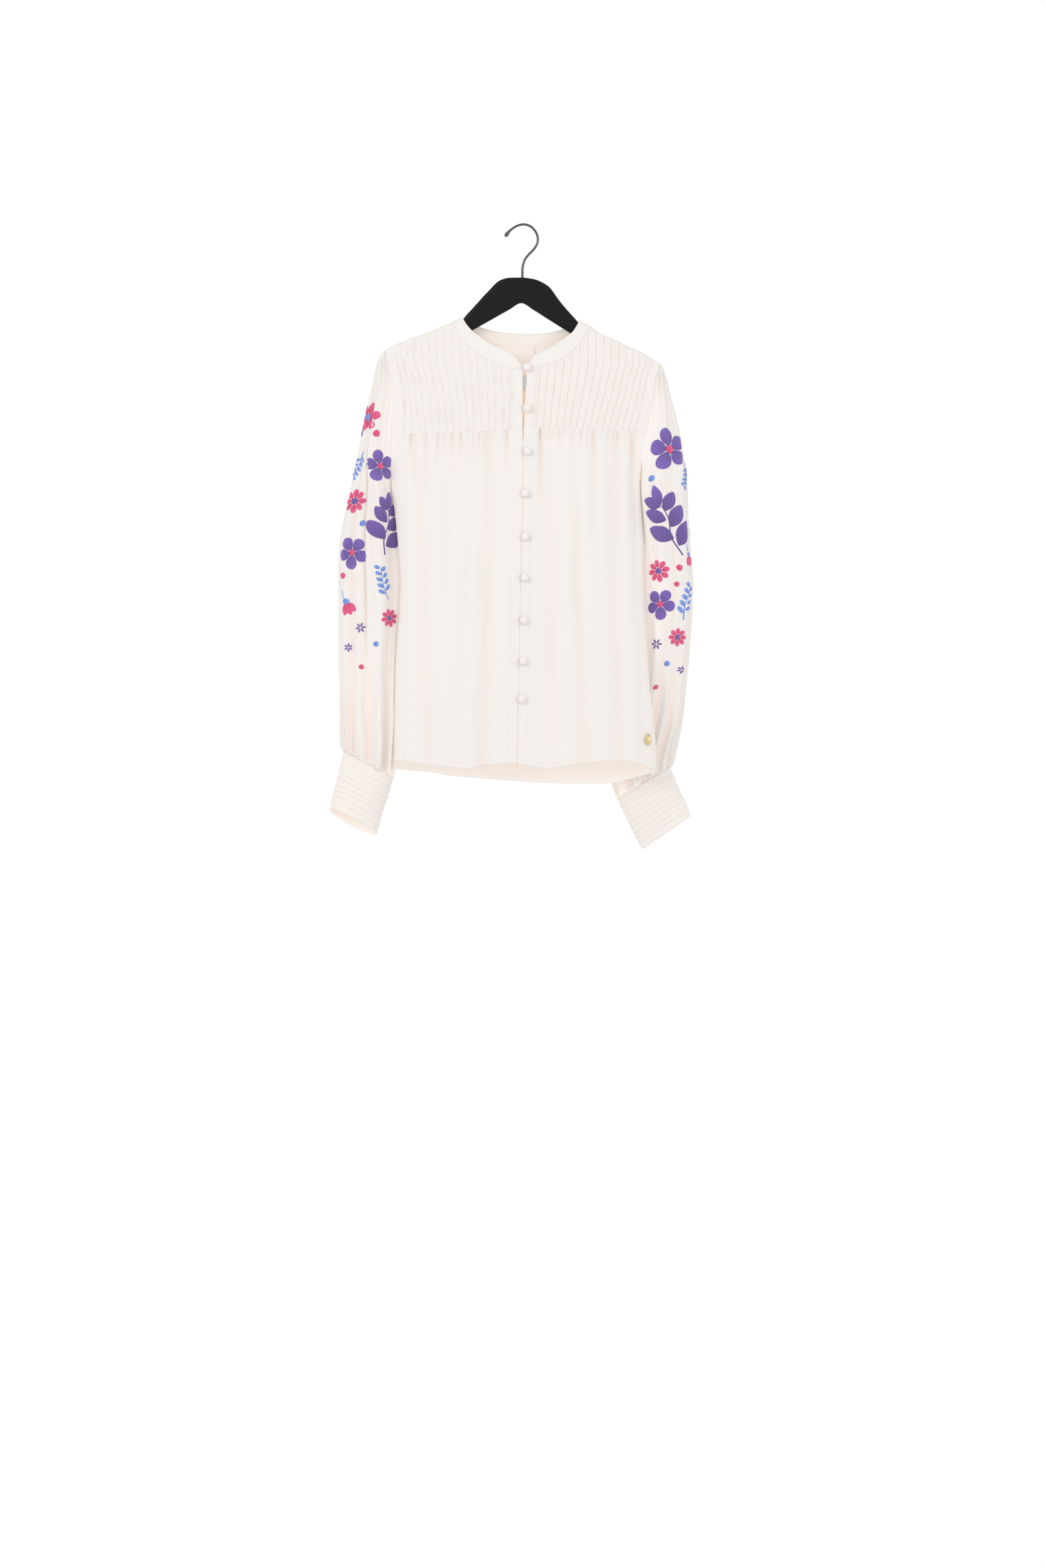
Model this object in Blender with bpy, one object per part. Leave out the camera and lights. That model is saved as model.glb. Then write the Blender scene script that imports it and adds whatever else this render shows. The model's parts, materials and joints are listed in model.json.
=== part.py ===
import math

import bpy
from mathutils import Vector

# A blouse on a hanger. Lengths are in metres, x is to the viewer's right, y is to the back, z is up,
# and the origin is the inside of the hook's top. RIGHT and LEFT are the wearer's sides, at -x and +x.
# Widths in a side's table are distances from x = 0.
RIGHT, LEFT = -1, 1
WALL = 0.0012
SEAM_GAP = 0.0004
NECK_GAP = 0.0010
ARMHOLE_GAP = 0.0005
UNDERARM_Z = -0.350
ROUNDNESS = 2.8  # how boxy the body's outline is, seen from above

# Shoulder line: (width, z)
SHOULDER = {
    RIGHT: [(0, -0.086), (0.030, -0.098), (0.060, -0.112), (0.084, -0.1242), (0.0954, -0.130),
            (0.113, -0.137), (0.131, -0.145), (0.149, -0.151), (0.167, -0.158), (0.185, -0.1665),
            (0.189, -0.1695)],
    LEFT: [(0, -0.086), (0.030, -0.102), (0.060, -0.119), (0.076, -0.1292), (0.0891, -0.1355),
           (0.103, -0.145), (0.121, -0.153), (0.139, -0.162), (0.157, -0.170), (0.175, -0.181),
           (0.186, -0.188)],
}

# Armhole edge, then side seam: (z, width, share of the width at which the section would close)
SIDE = {
    RIGHT: [(-0.1695, 0.1885, 0.80), (-0.190, 0.183, 0.80), (-0.208, 0.178, 0.81),
            (-0.225, 0.176, 0.82), (-0.250, 0.177, 0.84), (-0.284, 0.179, 0.88),
            (-0.315, 0.1795, 0.935), (-0.350, 0.179, 1), (-0.390, 0.174, 1), (-0.430, 0.170, 1),
            (-0.480, 0.1665, 1), (-0.560, 0.171, 1), (-0.620, 0.174, 1), (-0.740, 0.1755, 1)],
    LEFT: [(-0.188, 0.1855, 0.80), (-0.198, 0.181, 0.80), (-0.212, 0.177, 0.81),
           (-0.235, 0.1745, 0.83), (-0.262, 0.170, 0.86), (-0.280, 0.166, 0.88),
           (-0.315, 0.159, 0.935), (-0.350, 0.157, 1), (-0.420, 0.161, 1), (-0.500, 0.163, 1),
           (-0.560, 0.166, 1), (-0.620, 0.170, 1), (-0.700, 0.178, 1), (-0.745, 0.179, 1)],
}

# Half depth of the body below the shoulder line: (drop, front, back)
DEPTH = [(0, 0.0005, 0.0005), (0.0015, 0.0046, 0.0046), (0.004, 0.0074, 0.0074),
         (0.008, 0.0086, 0.0086), (0.015, 0.0097, 0.0097), (0.030, 0.012, 0.0115),
         (0.060, 0.018, 0.0165), (0.120, 0.0255, 0.0235), (0.200, 0.029, 0.028),
         (0.400, 0.031, 0.030), (0.660, 0.031, 0.030)]

# Front edges at the closing: (z, x)
FRONT_EDGE = {
    RIGHT: [(-0.190, -0.0012), (-0.205, -0.0018), (-0.245, -0.0016), (-0.270, -0.0020),
            (-0.300, -0.0013), (-0.320, -0.0013), (-0.460, -0.0040), (-0.550, -0.0058),
            (-0.600, -0.0067), (-0.690, -0.0085), (-0.735, -0.0094)],
    LEFT: [(-0.190, 0.0030), (-0.205, 0.0038), (-0.225, 0.0025), (-0.245, 0.0013),
           (-0.260, 0.0009), (-0.280, 0.0001), (-0.300, -0.0005), (-0.320, -0.0005),
           (-0.460, -0.0032), (-0.550, -0.0050), (-0.600, -0.0059), (-0.690, -0.0077),
           (-0.735, -0.0086)],
}

# Yoke seam: (width, z)
YOKE_SEAM = {
    RIGHT: [(0, -0.2775), (0.179, -0.2840)],
    LEFT: [(0, -0.2740), (0.166, -0.2800)],
}

# Hem of the fronts: (width, z)
FRONT_HEM = {
    RIGHT: [(0.009, -0.7270), (0.023, -0.7262), (0.050, -0.7290), (0.077, -0.7330), (0.095, -0.7320),
            (0.131, -0.7280), (0.158, -0.7238), (0.1755, -0.7230)],
    LEFT: [(-0.009, -0.7272), (0.0126, -0.7310), (0.031, -0.7335), (0.058, -0.7300),
           (0.085, -0.7262), (0.121, -0.7222), (0.157, -0.7270), (0.170, -0.7320), (0.179, -0.7370)],
}

# Hem of the back: (x, z)
BACK_HEM = [(-0.1755, -0.7335), (-0.158, -0.7353), (-0.131, -0.7375), (-0.095, -0.7430),
            (-0.059, -0.7462), (-0.023, -0.7490), (0.0126, -0.7515), (0.058, -0.7532),
            (0.103, -0.7532), (0.121, -0.7522), (0.139, -0.7483), (0.157, -0.7437), (0.179, -0.7375)]

# Neck seam, where the band is set on: (width, z) for the fronts and (x, z) for the back
NECK_FRONT = {
    RIGHT: [(0, -0.1953), (0.0162, -0.1935), (0.0279, -0.1899), (0.0459, -0.1818),
            (0.0612, -0.1737), (0.0729, -0.1638), (0.0819, -0.1521), (0.0900, -0.1395),
            (0.0954, -0.1303)],
    LEFT: [(0.0014, -0.1935), (0.0072, -0.1926), (0.0162, -0.1908), (0.0261, -0.1890),
           (0.0396, -0.1849), (0.0531, -0.1780), (0.0648, -0.1692), (0.0756, -0.1566),
           (0.0828, -0.1458), (0.0891, -0.1358)],
}
NECK_BACK = [(-0.0954, -0.1303), (-0.0885, -0.1390), (-0.075, -0.1490), (-0.055, -0.1570),
             (-0.030, -0.1610), (0, -0.1620), (0.030, -0.1615), (0.052, -0.1590), (0.070, -0.1530),
             (0.081, -0.1450), (0.0891, -0.1358)]
NECK_WIDTH = {RIGHT: 0.0954, LEFT: 0.0891}

# Neck band, from the wearer's right front edge round the back: (seam x, top x, top z)
BAND = [(-0.0012, -0.0030, -0.1890), (-0.0035, -0.0063, -0.1860), (-0.0090, -0.0108, -0.1790),
        (-0.0162, -0.0185, -0.1737), (-0.0279, -0.0290, -0.1680), (-0.0459, -0.0432, -0.1611),
        (-0.0612, -0.0576, -0.1521), (-0.0729, -0.0684, -0.1440), (-0.0819, -0.0765, -0.1350),
        (-0.0900, -0.0812, -0.1275), (-0.0954, -0.0833, -0.1233), (-0.0885, -0.0775, -0.1285),
        (-0.0750, -0.0620, -0.1350), (-0.0550, -0.0460, -0.1400), (-0.0300, -0.0260, -0.1435),
        (0, 0, -0.1450), (0.0300, 0.0290, -0.1442), (0.0520, 0.0460, -0.1408),
        (0.0700, 0.0600, -0.1368), (0.0810, 0.0705, -0.1330), (0.0891, 0.0754, -0.1287),
        (0.0828, 0.0715, -0.1350), (0.0756, 0.0648, -0.1449), (0.0648, 0.0504, -0.1557),
        (0.0531, 0.0378, -0.1638), (0.0396, 0.0250, -0.1705), (0.0261, 0.0160, -0.1745),
        (0.0162, 0.0115, -0.1790), (0.0090, 0.0085, -0.1845), (0.0040, 0.0060, -0.1885)]
BAND_SIDES = (10, 20)  # rows of BAND at the top of each shoulder
BAND_STEPS = 3

# Gathers and folds of the fronts: (width at the yoke seam, width at the hem, half width,
# height at the seam, halfway and at the hem); a height below zero is a valley
FRONT_FOLDS = {
    RIGHT: [(0.020, 0.016, 0.006, -0.0012, 0, 0), (0.034, 0.030, 0.006, -0.0016, -0.0004, 0),
            (0.048, 0.060, 0.007, -0.0022, -0.0016, -0.0012), (0.058, 0.090, 0.010, 0.0016, 0.0018, 0.001),
            (0.068, 0.078, 0.008, -0.0024, -0.0008, -0.0014), (0.077, 0.106, 0.009, 0.0014, 0.0014, 0),
            (0.087, 0.098, 0.007, -0.0022, -0.0006, 0), (0.106, 0.112, 0.007, -0.0024, -0.0010, 0),
            (0.116, 0.140, 0.008, 0.0016, 0.0022, 0.0010), (0.134, 0.124, 0.007, -0.0030, -0.0030, -0.0022),
            (0.143, 0.140, 0.007, 0.0018, 0.0020, 0.0012), (0.151, 0.156, 0.006, -0.0022, -0.0010, -0.0004)],
    LEFT: [(0.020, 0.036, 0.006, -0.0012, -0.0003, 0.0006), (0.033, 0.031, 0.007, -0.0016, -0.0010, -0.0012),
           (0.046, 0.050, 0.006, -0.0022, -0.0006, 0), (0.055, 0.060, 0.008, 0.0014, 0.0014, 0.0010),
           (0.063, 0.070, 0.007, -0.0022, -0.0012, -0.0006), (0.076, 0.086, 0.008, 0.0012, 0.0016, 0.0014),
           (0.090, 0.104, 0.007, -0.0024, -0.0016, 0), (0.102, 0.124, 0.008, 0.0014, 0.0014, 0.0020),
           (0.112, 0.108, 0.006, -0.0020, -0.0008, -0.0010), (0.126, 0.136, 0.007, -0.0024, -0.0014, -0.0014),
           (0.136, 0.146, 0.007, 0.0016, 0.0016, 0.0006), (0.148, 0.152, 0.006, -0.0022, -0.0004, 0)],
}

# Soft folds of the back: (x at the neck, x at the hem, half width, height at the neck, halfway, at the hem)
BACK_FOLDS = [(-0.120, -0.128, 0.016, 0, 0.0018, 0.0022), (-0.080, -0.084, 0.018, 0, -0.0022, -0.0026),
              (-0.030, -0.034, 0.018, 0, 0.0018, 0.0024), (0.020, 0.022, 0.018, 0, -0.0020, -0.0024),
              (0.070, 0.078, 0.018, 0, 0.0020, 0.0024), (0.112, 0.120, 0.016, 0, -0.0018, -0.0024)]

# Pintucks of each yoke: the first one's share of the yoke's width, the last one's, and how many
FIRST_TUCK = 0.090
LAST_TUCK = 0.888
TUCKS = 16
TUCK_HEIGHT = 0.0010
TUCK_FAN = 0.35  # how far the tucks spread towards the shoulder

# Rows of the yokes and the upper back: metres below the top edge, then shares of what is left
TOP_STEPS = (0, 0.0015, 0.004, 0.009)
YOKE_SHARES = (0.15, 0.40, 0.70, 1)
LOWER_SHARES = (0.10, 0.25, 0.42, 0.60, 0.80, 1)
MID_ARMHOLE_Z = -0.315
FRONT_COLUMNS = 38
BACK_COLUMNS = 26
BACK_MIDDLE = -0.003
SLEEVE_COLUMNS = 40

# Sleeve's outer outline down to the underarm: (z, width)
SLEEVE_HEAD = {
    RIGHT: [(-0.1695, 0.1890), (-0.176, 0.194), (-0.190, 0.199), (-0.208, 0.2025), (-0.226, 0.207),
            (-0.253, 0.212), (-0.293, 0.2205), (-0.334, 0.229), (-0.350, 0.2325)],
    LEFT: [(-0.188, 0.1860), (-0.199, 0.1905), (-0.212, 0.1935), (-0.244, 0.2016), (-0.280, 0.2106),
           (-0.307, 0.215), (-0.350, 0.2203)],
}
# How far down the outer outline each row of the head is, as a share of the way to the underarm,
# and the sleeve's half depth there
HEAD_ROWS = [(0, 0.0075), (0.03, 0.0095), (0.10, 0.0125), (0.26, 0.016), (0.45, 0.0195), (0.62, 0.022),
             (0.80, 0.023), (1, 0.023)]

# Sleeve sections below the underarm: (outer width, outer z, inner width, inner z, y, half depth)
SLEEVE = {
    RIGHT: [(0.2415, -0.388, 0.1753, -0.388, 0.008, 0.0235), (0.2490, -0.430, 0.1713, -0.430, 0.016, 0.024),
            (0.2500, -0.480, 0.1655, -0.480, 0.020, 0.025), (0.2495, -0.530, 0.1655, -0.530, 0.019, 0.025),
            (0.2495, -0.580, 0.1685, -0.580, 0.019, 0.025), (0.2480, -0.630, 0.1710, -0.634, 0.019, 0.025),
            (0.2465, -0.672, 0.1725, -0.688, 0.019, 0.024), (0.2447, -0.697, 0.1740, -0.724, 0.019, 0.021),
            (0.2437, -0.7090, 0.1765, -0.7450, 0.019, 0.016)],
    LEFT: [(0.2220, -0.388, 0.1597, -0.388, 0.008, 0.0235), (0.2250, -0.430, 0.1606, -0.430, 0.017, 0.024),
           (0.2293, -0.480, 0.1580, -0.480, 0.025, 0.025), (0.2272, -0.530, 0.1550, -0.530, 0.030, 0.025),
           (0.2233, -0.580, 0.1530, -0.582, 0.037, 0.025), (0.2175, -0.630, 0.1480, -0.638, 0.045, 0.025),
           (0.2110, -0.675, 0.1360, -0.698, 0.052, 0.024), (0.2030, -0.712, 0.1200, -0.745, 0.054, 0.021),
           (0.1985, -0.7310, 0.1265, -0.7735, 0.054, 0.016)],
}

# Long folds of the sleeves: (place round the sleeve, half width, height at the head, halfway, at the cuff)
SLEEVE_FOLDS = {
    RIGHT: [(0.11, 0.030, 0, -0.0024, -0.0012), (0.19, 0.030, 0.0008, 0.0014, 0.0016),
            (0.36, 0.030, -0.0008, -0.0018, -0.0014), (0.43, 0.028, 0.0006, 0.0014, 0),
            (0.62, 0.040, -0.0006, -0.0020, -0.001), (0.75, 0.050, 0, 0.0020, 0.001),
            (0.88, 0.040, 0, -0.0016, -0.001)],
    LEFT: [(0.13, 0.030, 0, -0.0014, -0.0020), (0.21, 0.030, 0.0008, 0.0014, 0.0014),
           (0.29, 0.028, -0.0008, -0.0022, -0.0020), (0.38, 0.030, 0.0006, 0.0016, 0.0010),
           (0.62, 0.040, -0.0006, -0.0020, -0.001), (0.75, 0.050, 0, 0.0020, 0.001),
           (0.88, 0.040, 0, -0.0016, -0.001)],
}
# One deep pleat of the wearer's right sleeve: place round it, and its height down the sleeve
PLEAT_PLACE = 0.2625
PLEAT_SPREAD = 0.055
PLEAT = [(0, 0), (0.06, 0), (0.14, 0.0026), (0.30, 0.0032), (0.60, 0.0032), (0.74, 0.0016), (0.85, 0)]
# Gathers at the head and the cuff: how many round the sleeve, and their height down the sleeve
GATHERS = 10
GATHER_HEIGHT = [(0, 0), (0.06, 0), (0.14, 0.0007), (0.30, 0.0003), (0.62, 0.0005), (0.80, 0.0014),
                 (0.93, 0.0026), (1, 0.0010)]

# Cuffs: (outer width, outer z, inner width, inner z) at the top and bottom, y at each, half depth at each,
# and how far the front of the mouth is raised
CUFF = {
    RIGHT: ((0.2437, -0.7094, 0.1765, -0.7454), (0.2630, -0.7890, 0.2000, -0.8215), 0.019, 0.016,
            0.016, 0.019, 0.0065),
    LEFT: ((0.1987, -0.7314, 0.1267, -0.7739), (0.2270, -0.7965, 0.1610, -0.8428), 0.054, 0.052,
           0.016, 0.016, 0.0010),
}
CUFF_COLUMNS = 24
CUFF_TUCKS = 8
CUFF_FIRST = 0.165
CUFF_PITCH = 0.100
CUFF_TUCK_HEIGHT = 0.0009

# Buttons: (x, z), top to bottom
BUTTONS = [(0.0045, -0.1926), (0.0045, -0.2484), (0.0045, -0.3060), (0.0018, -0.3627), (0.0018, -0.4212),
           (0.0009, -0.4761), (0.0000, -0.5337), (-0.0009, -0.5886), (-0.0027, -0.6399)]
# A button's profile out from the cloth, shank first: (distance, radius)
BUTTON = [(0.0004, 0.0011), (0.0017, 0.0012), (0.0026, 0.0036), (0.0046, 0.0053), (0.0072, 0.0048),
          (0.0092, 0.0022)]
BUTTON_SIDES = 8
LOOP_WIRE = 0.0008
LOOP_RADIUS = 0.0040
LOOP_REACH = 0.0045

# Labels inside the back: (name, left x, right x, top z, bottom z)
LABELS = [("neck_label", -0.0333, 0.0144, -0.1640, -0.1890), ("size_label", 0.0170, 0.0280, -0.1640, -0.1730),
          ("inner_tape", -0.0040, 0.0050, -0.2010, -0.2200)]
LABEL_WALL = 0.0010

# Hanger sections: (x, top z, bottom z, half thickness)
HANGER = [(-0.178, -0.1672, -0.1760, 0.0030), (-0.172, -0.1638, -0.1850, 0.0042),
          (-0.150, -0.1552, -0.1785, 0.0046), (-0.113, -0.1420, -0.1640, 0.0048),
          (-0.0960, -0.1385, -0.1570, 0.0044), (-0.0860, -0.1310, -0.1510, 0.0046),
          (-0.0770, -0.1200, -0.1458, 0.0054), (-0.0684, -0.1108, -0.1408, 0.0060),
          (-0.0504, -0.0910, -0.1308, 0.0060), (-0.0306, -0.0730, -0.1196, 0.0060),
          (-0.0189, -0.0703, -0.1130, 0.0060), (-0.0036, -0.0701, -0.1046, 0.0060),
          (0.0126, -0.0720, -0.1136, 0.0060), (0.0324, -0.0812, -0.1262, 0.0060),
          (0.0486, -0.1020, -0.1364, 0.0060), (0.0576, -0.1128, -0.1420, 0.0060),
          (0.0670, -0.1232, -0.1480, 0.0056), (0.0765, -0.1336, -0.1532, 0.0050),
          (0.0891, -0.1425, -0.1600, 0.0048), (0.113, -0.1545, -0.1735, 0.0048),
          (0.140, -0.1665, -0.1875, 0.0046), (0.164, -0.1784, -0.2000, 0.0042),
          (0.172, -0.1850, -0.1955, 0.0030)]
HANGER_CORNER = 3.5
HANGER_SIDES = 8

# Hook's middle line and wire radius: (x, z, radius)
HOOK = [(-0.0252, -0.0150, 0.0008), (-0.0243, -0.0135, 0.0024), (-0.0225, -0.0110, 0.0027),
        (-0.0198, -0.0078, 0.0019), (-0.0162, -0.0045, 0.0016), (-0.0099, -0.0006, 0.0016),
        (-0.0009, 0.0018, 0.0016), (0.0081, -0.0004, 0.0016), (0.0153, -0.0072, 0.0016),
        (0.0189, -0.0170, 0.0016), (0.0180, -0.0240, 0.0016), (0.0135, -0.0318, 0.0016),
        (0.0070, -0.0385, 0.0016), (0.0016, -0.0455, 0.0016), (-0.0013, -0.0540, 0.0017),
        (-0.0020, -0.0698, 0.0018)]

# Charm near the hem: the point that its eye hangs from, as (x, z), and its sizes
CHARM_AT = (0.1665, -0.6880)
CHARM_STANDOFF = 0.0022
CHARM_THICK = 0.0012
CHARM_EYE = 0.0011
CHARM_OUTLINE = [(0, 0.0022), (25, 0.0022), (50, 0.0023), (75, 0.0025), (100, 0.0031), (120, 0.0044),
                 (135, 0.0062), (148, 0.0086), (160, 0.0112), (171, 0.0128), (180, 0.0133)]
CHARM_THREAD = 0.0004


def mix(a, b, share):
    return a + (b - a) * share


def follow(table, key, column=1):
    """A column's value at key, on a smooth curve through the table's rows that never overshoots them."""
    rows = table if table[0][0] < table[-1][0] else table[::-1]
    if key <= rows[0][0]:
        return rows[0][column]
    if key >= rows[-1][0]:
        return rows[-1][column]
    i = 0
    while rows[i + 1][0] < key:
        i += 1

    def slope(k):
        return (rows[k + 1][column] - rows[k][column]) / (rows[k + 1][0] - rows[k][0])

    def tangent(k):
        if k == 0:
            return slope(0)
        if k == len(rows) - 1:
            return slope(k - 1)
        before, after = slope(k - 1), slope(k)
        return 0 if before * after <= 0 else 2 * before * after / (before + after)

    span = rows[i + 1][0] - rows[i][0]
    t = (key - rows[i][0]) / span
    return (rows[i][column] * (1 + 2 * t) * (1 - t) ** 2 + rows[i + 1][column] * t * t * (3 - 2 * t)
            + span * (tangent(i) * t * (1 - t) ** 2 - tangent(i + 1) * t * t * (1 - t)))


def ease(value):
    value = max(0, min(1, value))
    return value * value * (3 - 2 * value)


def bump(distance, half_width):
    return math.exp(-(distance / half_width) ** 2)


def side_of(x):
    return RIGHT if x < 0 else LEFT


def body_depth(x, z, column):
    """Half depth of the body at (x, z): column 1 is the front and 2 the back."""
    side = side_of(x)
    drop = max(0, follow(SHOULDER[side], abs(x)) - z)
    closing = follow(SIDE[side], z, 1) / follow(SIDE[side], z, 2)
    share = min(1, abs(x) / closing)
    return follow(DEPTH, drop, column) * max(0, 1 - share ** ROUNDNESS) ** (1 / ROUNDNESS)


def three_heights(fold, first, t):
    return follow([(0, fold[first]), (0.5, fold[first + 1]), (1, fold[first + 2])], t)


def front_y(x, z, side):
    """The front's outer surface, with its folds below the yoke seam."""
    width = x * side
    top, hem = follow(YOKE_SEAM[side], width), follow(FRONT_HEM[side], width)
    t = max(0, min(1, (top - z) / (top - hem)))
    lift = 0
    if z < top + 0.001:
        for fold in FRONT_FOLDS[side]:
            middle = mix(fold[0], fold[1], t)
            lift += three_heights(fold, 3, t) * bump(width - middle, fold[2] * (1 + 0.5 * t))
        near_side = (follow(SIDE[side], z) - width) / 0.02
        lift *= ease(near_side)
    return -body_depth(x, z, 1) - lift


def back_y(x, z):
    t = max(0, min(1, (-0.20 - z) / 0.54))
    lift = sum(three_heights(fold, 3, t) * bump(x - mix(fold[0], fold[1], t), fold[2])
               for fold in BACK_FOLDS)
    near_side = (follow(SIDE[side_of(x)], z) - abs(x)) / 0.03
    return body_depth(x, z, 2) + lift * ease(near_side)


def levels(top, bottom):
    """Heights of a yoke's rows between two edges."""
    low = top - TOP_STEPS[-1]
    return [top - step for step in TOP_STEPS] + [mix(low, bottom, share) for share in YOKE_SHARES]


def armhole_levels(side):
    seam = follow(YOKE_SEAM[side], follow(SIDE[side], -0.282))
    return levels(SHOULDER[side][-1][1], seam) + [MID_ARMHOLE_Z, UNDERARM_Z]


def top_of_front(side, width):
    if width >= NECK_WIDTH[side]:
        return follow(SHOULDER[side], width)
    return follow(NECK_FRONT[side], width)


def top_of_back(x):
    if abs(x) >= NECK_WIDTH[side_of(x)]:
        return follow(SHOULDER[side_of(x)], abs(x))
    return follow(NECK_BACK, x)


def without(axis, vector):
    """The unit vector with one axis taken out."""
    kept = Vector(vector)
    if axis is not None:
        kept[axis] = 0
    return kept.normalized()


def normals(grid, closed, outward):
    """Unit normals of a grid of points, on the side that outward(point) says."""
    rows, columns = len(grid), len(grid[0])
    found = []
    for i in range(rows):
        row = []
        for j in range(columns):
            before, after = (j - 1) % columns, (j + 1) % columns
            if not closed:
                before, after = max(0, j - 1), min(columns - 1, j + 1)
            along = grid[i][after] - grid[i][before]
            down = grid[min(rows - 1, i + 1)][j] - grid[max(0, i - 1)][j]
            normal = along.cross(down).normalized()
            if normal.dot(outward(grid[i][j], i, j)) < 0:
                normal.negate()
            row.append(normal)
        found.append(row)
    return found


def inside_of(grid, closed, outward, edge_axis, thickness=WALL):
    """The wall's inner points. edge_axis(i, j) names the axis that a point's offset leaves out."""
    facing = normals(grid, closed, outward)
    return [[point - without(edge_axis(i, j), facing[i][j]) * thickness for j, point in enumerate(row)]
            for i, row in enumerate(grid)]


def add_solid(name, points, faces, colour, roughness=0.85, metallic=0.0):
    mesh = bpy.data.meshes.new(name)
    mesh.from_pydata([tuple(point) for point in points], [], faces)
    mesh.validate()
    material = bpy.data.materials.new(name)
    material.use_nodes = True
    shader = material.node_tree.nodes["Principled BSDF"]
    shader.inputs["Base Color"].default_value = (*colour, 1)
    shader.inputs["Roughness"].default_value = roughness
    shader.inputs["Metallic"].default_value = metallic
    mesh.materials.append(material)
    made = bpy.data.objects.new(name, mesh)
    bpy.context.scene.collection.objects.link(made)
    bpy.context.view_layer.objects.active = made
    made.select_set(True)
    bpy.ops.object.mode_set(mode="EDIT")
    bpy.ops.mesh.select_all(action="SELECT")
    bpy.ops.mesh.normals_make_consistent(inside=False)
    bpy.ops.object.mode_set(mode="OBJECT")
    made.select_set(False)
    return made


def add_wall(name, outer, inner, colour, kept=None, closed=False):
    """A closed wall between two grids. The inner one has the outer one's kept columns, or all of them,
    and may have fewer rows where the grids are closed rings."""
    columns, inner_columns = len(outer[0]), len(inner[0])
    kept = kept or list(range(columns))
    stops = kept + [columns] if closed else kept
    points = [point for row in outer for point in row] + [point for row in inner for point in row]
    start = len(outer) * columns
    faces = []

    def out(i, j):
        return i * columns + j % columns

    def in_(i, j):
        return start + i * inner_columns + j % inner_columns

    for at, rows, count in ((out, len(outer), columns), (in_, len(inner), inner_columns)):
        for i in range(rows - 1):
            for j in range(count if closed else count - 1):
                a, b, c, d = at(i, j), at(i, j + 1), at(i + 1, j + 1), at(i + 1, j)
                faces += [(a, b, c), (a, c, d)]
    for i, k in ((0, 0), (len(outer) - 1, len(inner) - 1)):
        for j in range(len(stops) - 1):
            for s in range(stops[j], stops[j + 1]):
                faces.append((out(i, s), out(i, s + 1), in_(k, j)))
            faces.append((out(i, stops[j + 1]), in_(k, j + 1), in_(k, j)))
    if not closed:
        for j, k in ((0, 0), (columns - 1, inner_columns - 1)):
            for i in range(len(outer) - 1):
                a, b, c, d = out(i, j), out(i + 1, j), in_(i + 1, k), in_(i, k)
                faces += [(a, b, c), (a, c, d)]
    return add_solid(name, points, faces, colour)


def add_rings(name, rings, colour, roughness=0.5, metallic=0.0):
    """A solid through rings of points, closed at both ends."""
    count = len(rings[0])
    faces = [(i * count + j, i * count + (j + 1) % count, (i + 1) * count + (j + 1) % count,
              (i + 1) * count + j) for i in range(len(rings) - 1) for j in range(count)]
    faces += [tuple(range(count)), tuple((len(rings) - 1) * count + j for j in range(count))]
    return add_solid(name, [point for ring in rings for point in ring], faces, colour, roughness, metallic)


def tube_rings(path, radii, sides, across):
    """Rings round a path; across is a direction that the path never follows."""
    rings = []
    for i, point in enumerate(path):
        along = (path[min(len(path) - 1, i + 1)] - path[max(0, i - 1)]).normalized()
        first = along.cross(across).normalized()
        second = along.cross(first)
        rings.append([point + (first * math.cos(a) + second * math.sin(a)) * radii[i]
                      for a in (math.tau * (k + 0.5) / sides for k in range(sides))])
    return rings


CREAM = (0.86, 0.80, 0.76)
NECK_LABEL = (0.84, 0.74, 0.72)
BLACK = (0.012, 0.012, 0.013)
GUNMETAL = (0.10, 0.10, 0.11)
GOLD = (0.75, 0.58, 0.30)


def front_x(side, share, z):
    edge = follow(FRONT_EDGE[side], z)
    limit = side * follow(SIDE[side], z)
    bunch = 1 + 0.55 * ease((follow(SIDE[side], z, 2) - 0.86) / 0.14)
    return mix(edge, limit, 1 - (1 - share) ** bunch)


def add_front(side):
    name = "front_right" if side == RIGHT else "front_left"
    arm = armhole_levels(side)
    seam, grid = arm[-3], []
    for i in range(3 + len(LOWER_SHARES)):
        row = []
        for j in range(FRONT_COLUMNS + 1):
            z = arm[-3 + min(i, 2)]
            if i > 2:
                z = mix(UNDERARM_Z, follow(FRONT_HEM[side], 0.12), LOWER_SHARES[i - 3])
            x = front_x(side, j / FRONT_COLUMNS, z)
            lift = follow(YOKE_SEAM[side], x * side) - seam
            if i <= 2:
                z = arm[-3 + i] + lift
            else:
                z = mix(UNDERARM_Z + lift, follow(FRONT_HEM[side], x * side), LOWER_SHARES[i - 3])
            y = front_y(x, z, side)
            if j == FRONT_COLUMNS and i >= 2:
                y = -SEAM_GAP / 2
            row.append(Vector((x, y, z - (SEAM_GAP / 2 if i == 0 else 0))))
        grid.append(row)

    def edge_axis(i, j):
        if j == FRONT_COLUMNS:
            return 1 if i >= 2 else 0
        return 2 if i == 0 else 0 if j == 0 else None

    inner = inside_of(grid, False, lambda p, i, j: Vector((side * (j / FRONT_COLUMNS) ** 8, -1, 0)), edge_axis)
    add_wall(name, grid, inner, CREAM)


def yoke_shares():
    """Columns of a yoke as (share of its width, height of the tuck there)."""
    pitch = (LAST_TUCK - FIRST_TUCK) / (TUCKS - 1)
    shares = [(0, 0), (FIRST_TUCK * 0.5, 0)]
    for k in range(TUCKS):
        at = FIRST_TUCK + k * pitch
        shares += [(at - pitch * 0.06, 0), (at + pitch * 0.06, TUCK_HEIGHT), (at + pitch * 0.45, 0)]
    return shares + [(mix(LAST_TUCK, 1, 0.7), 0), (1, 0)]


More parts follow.
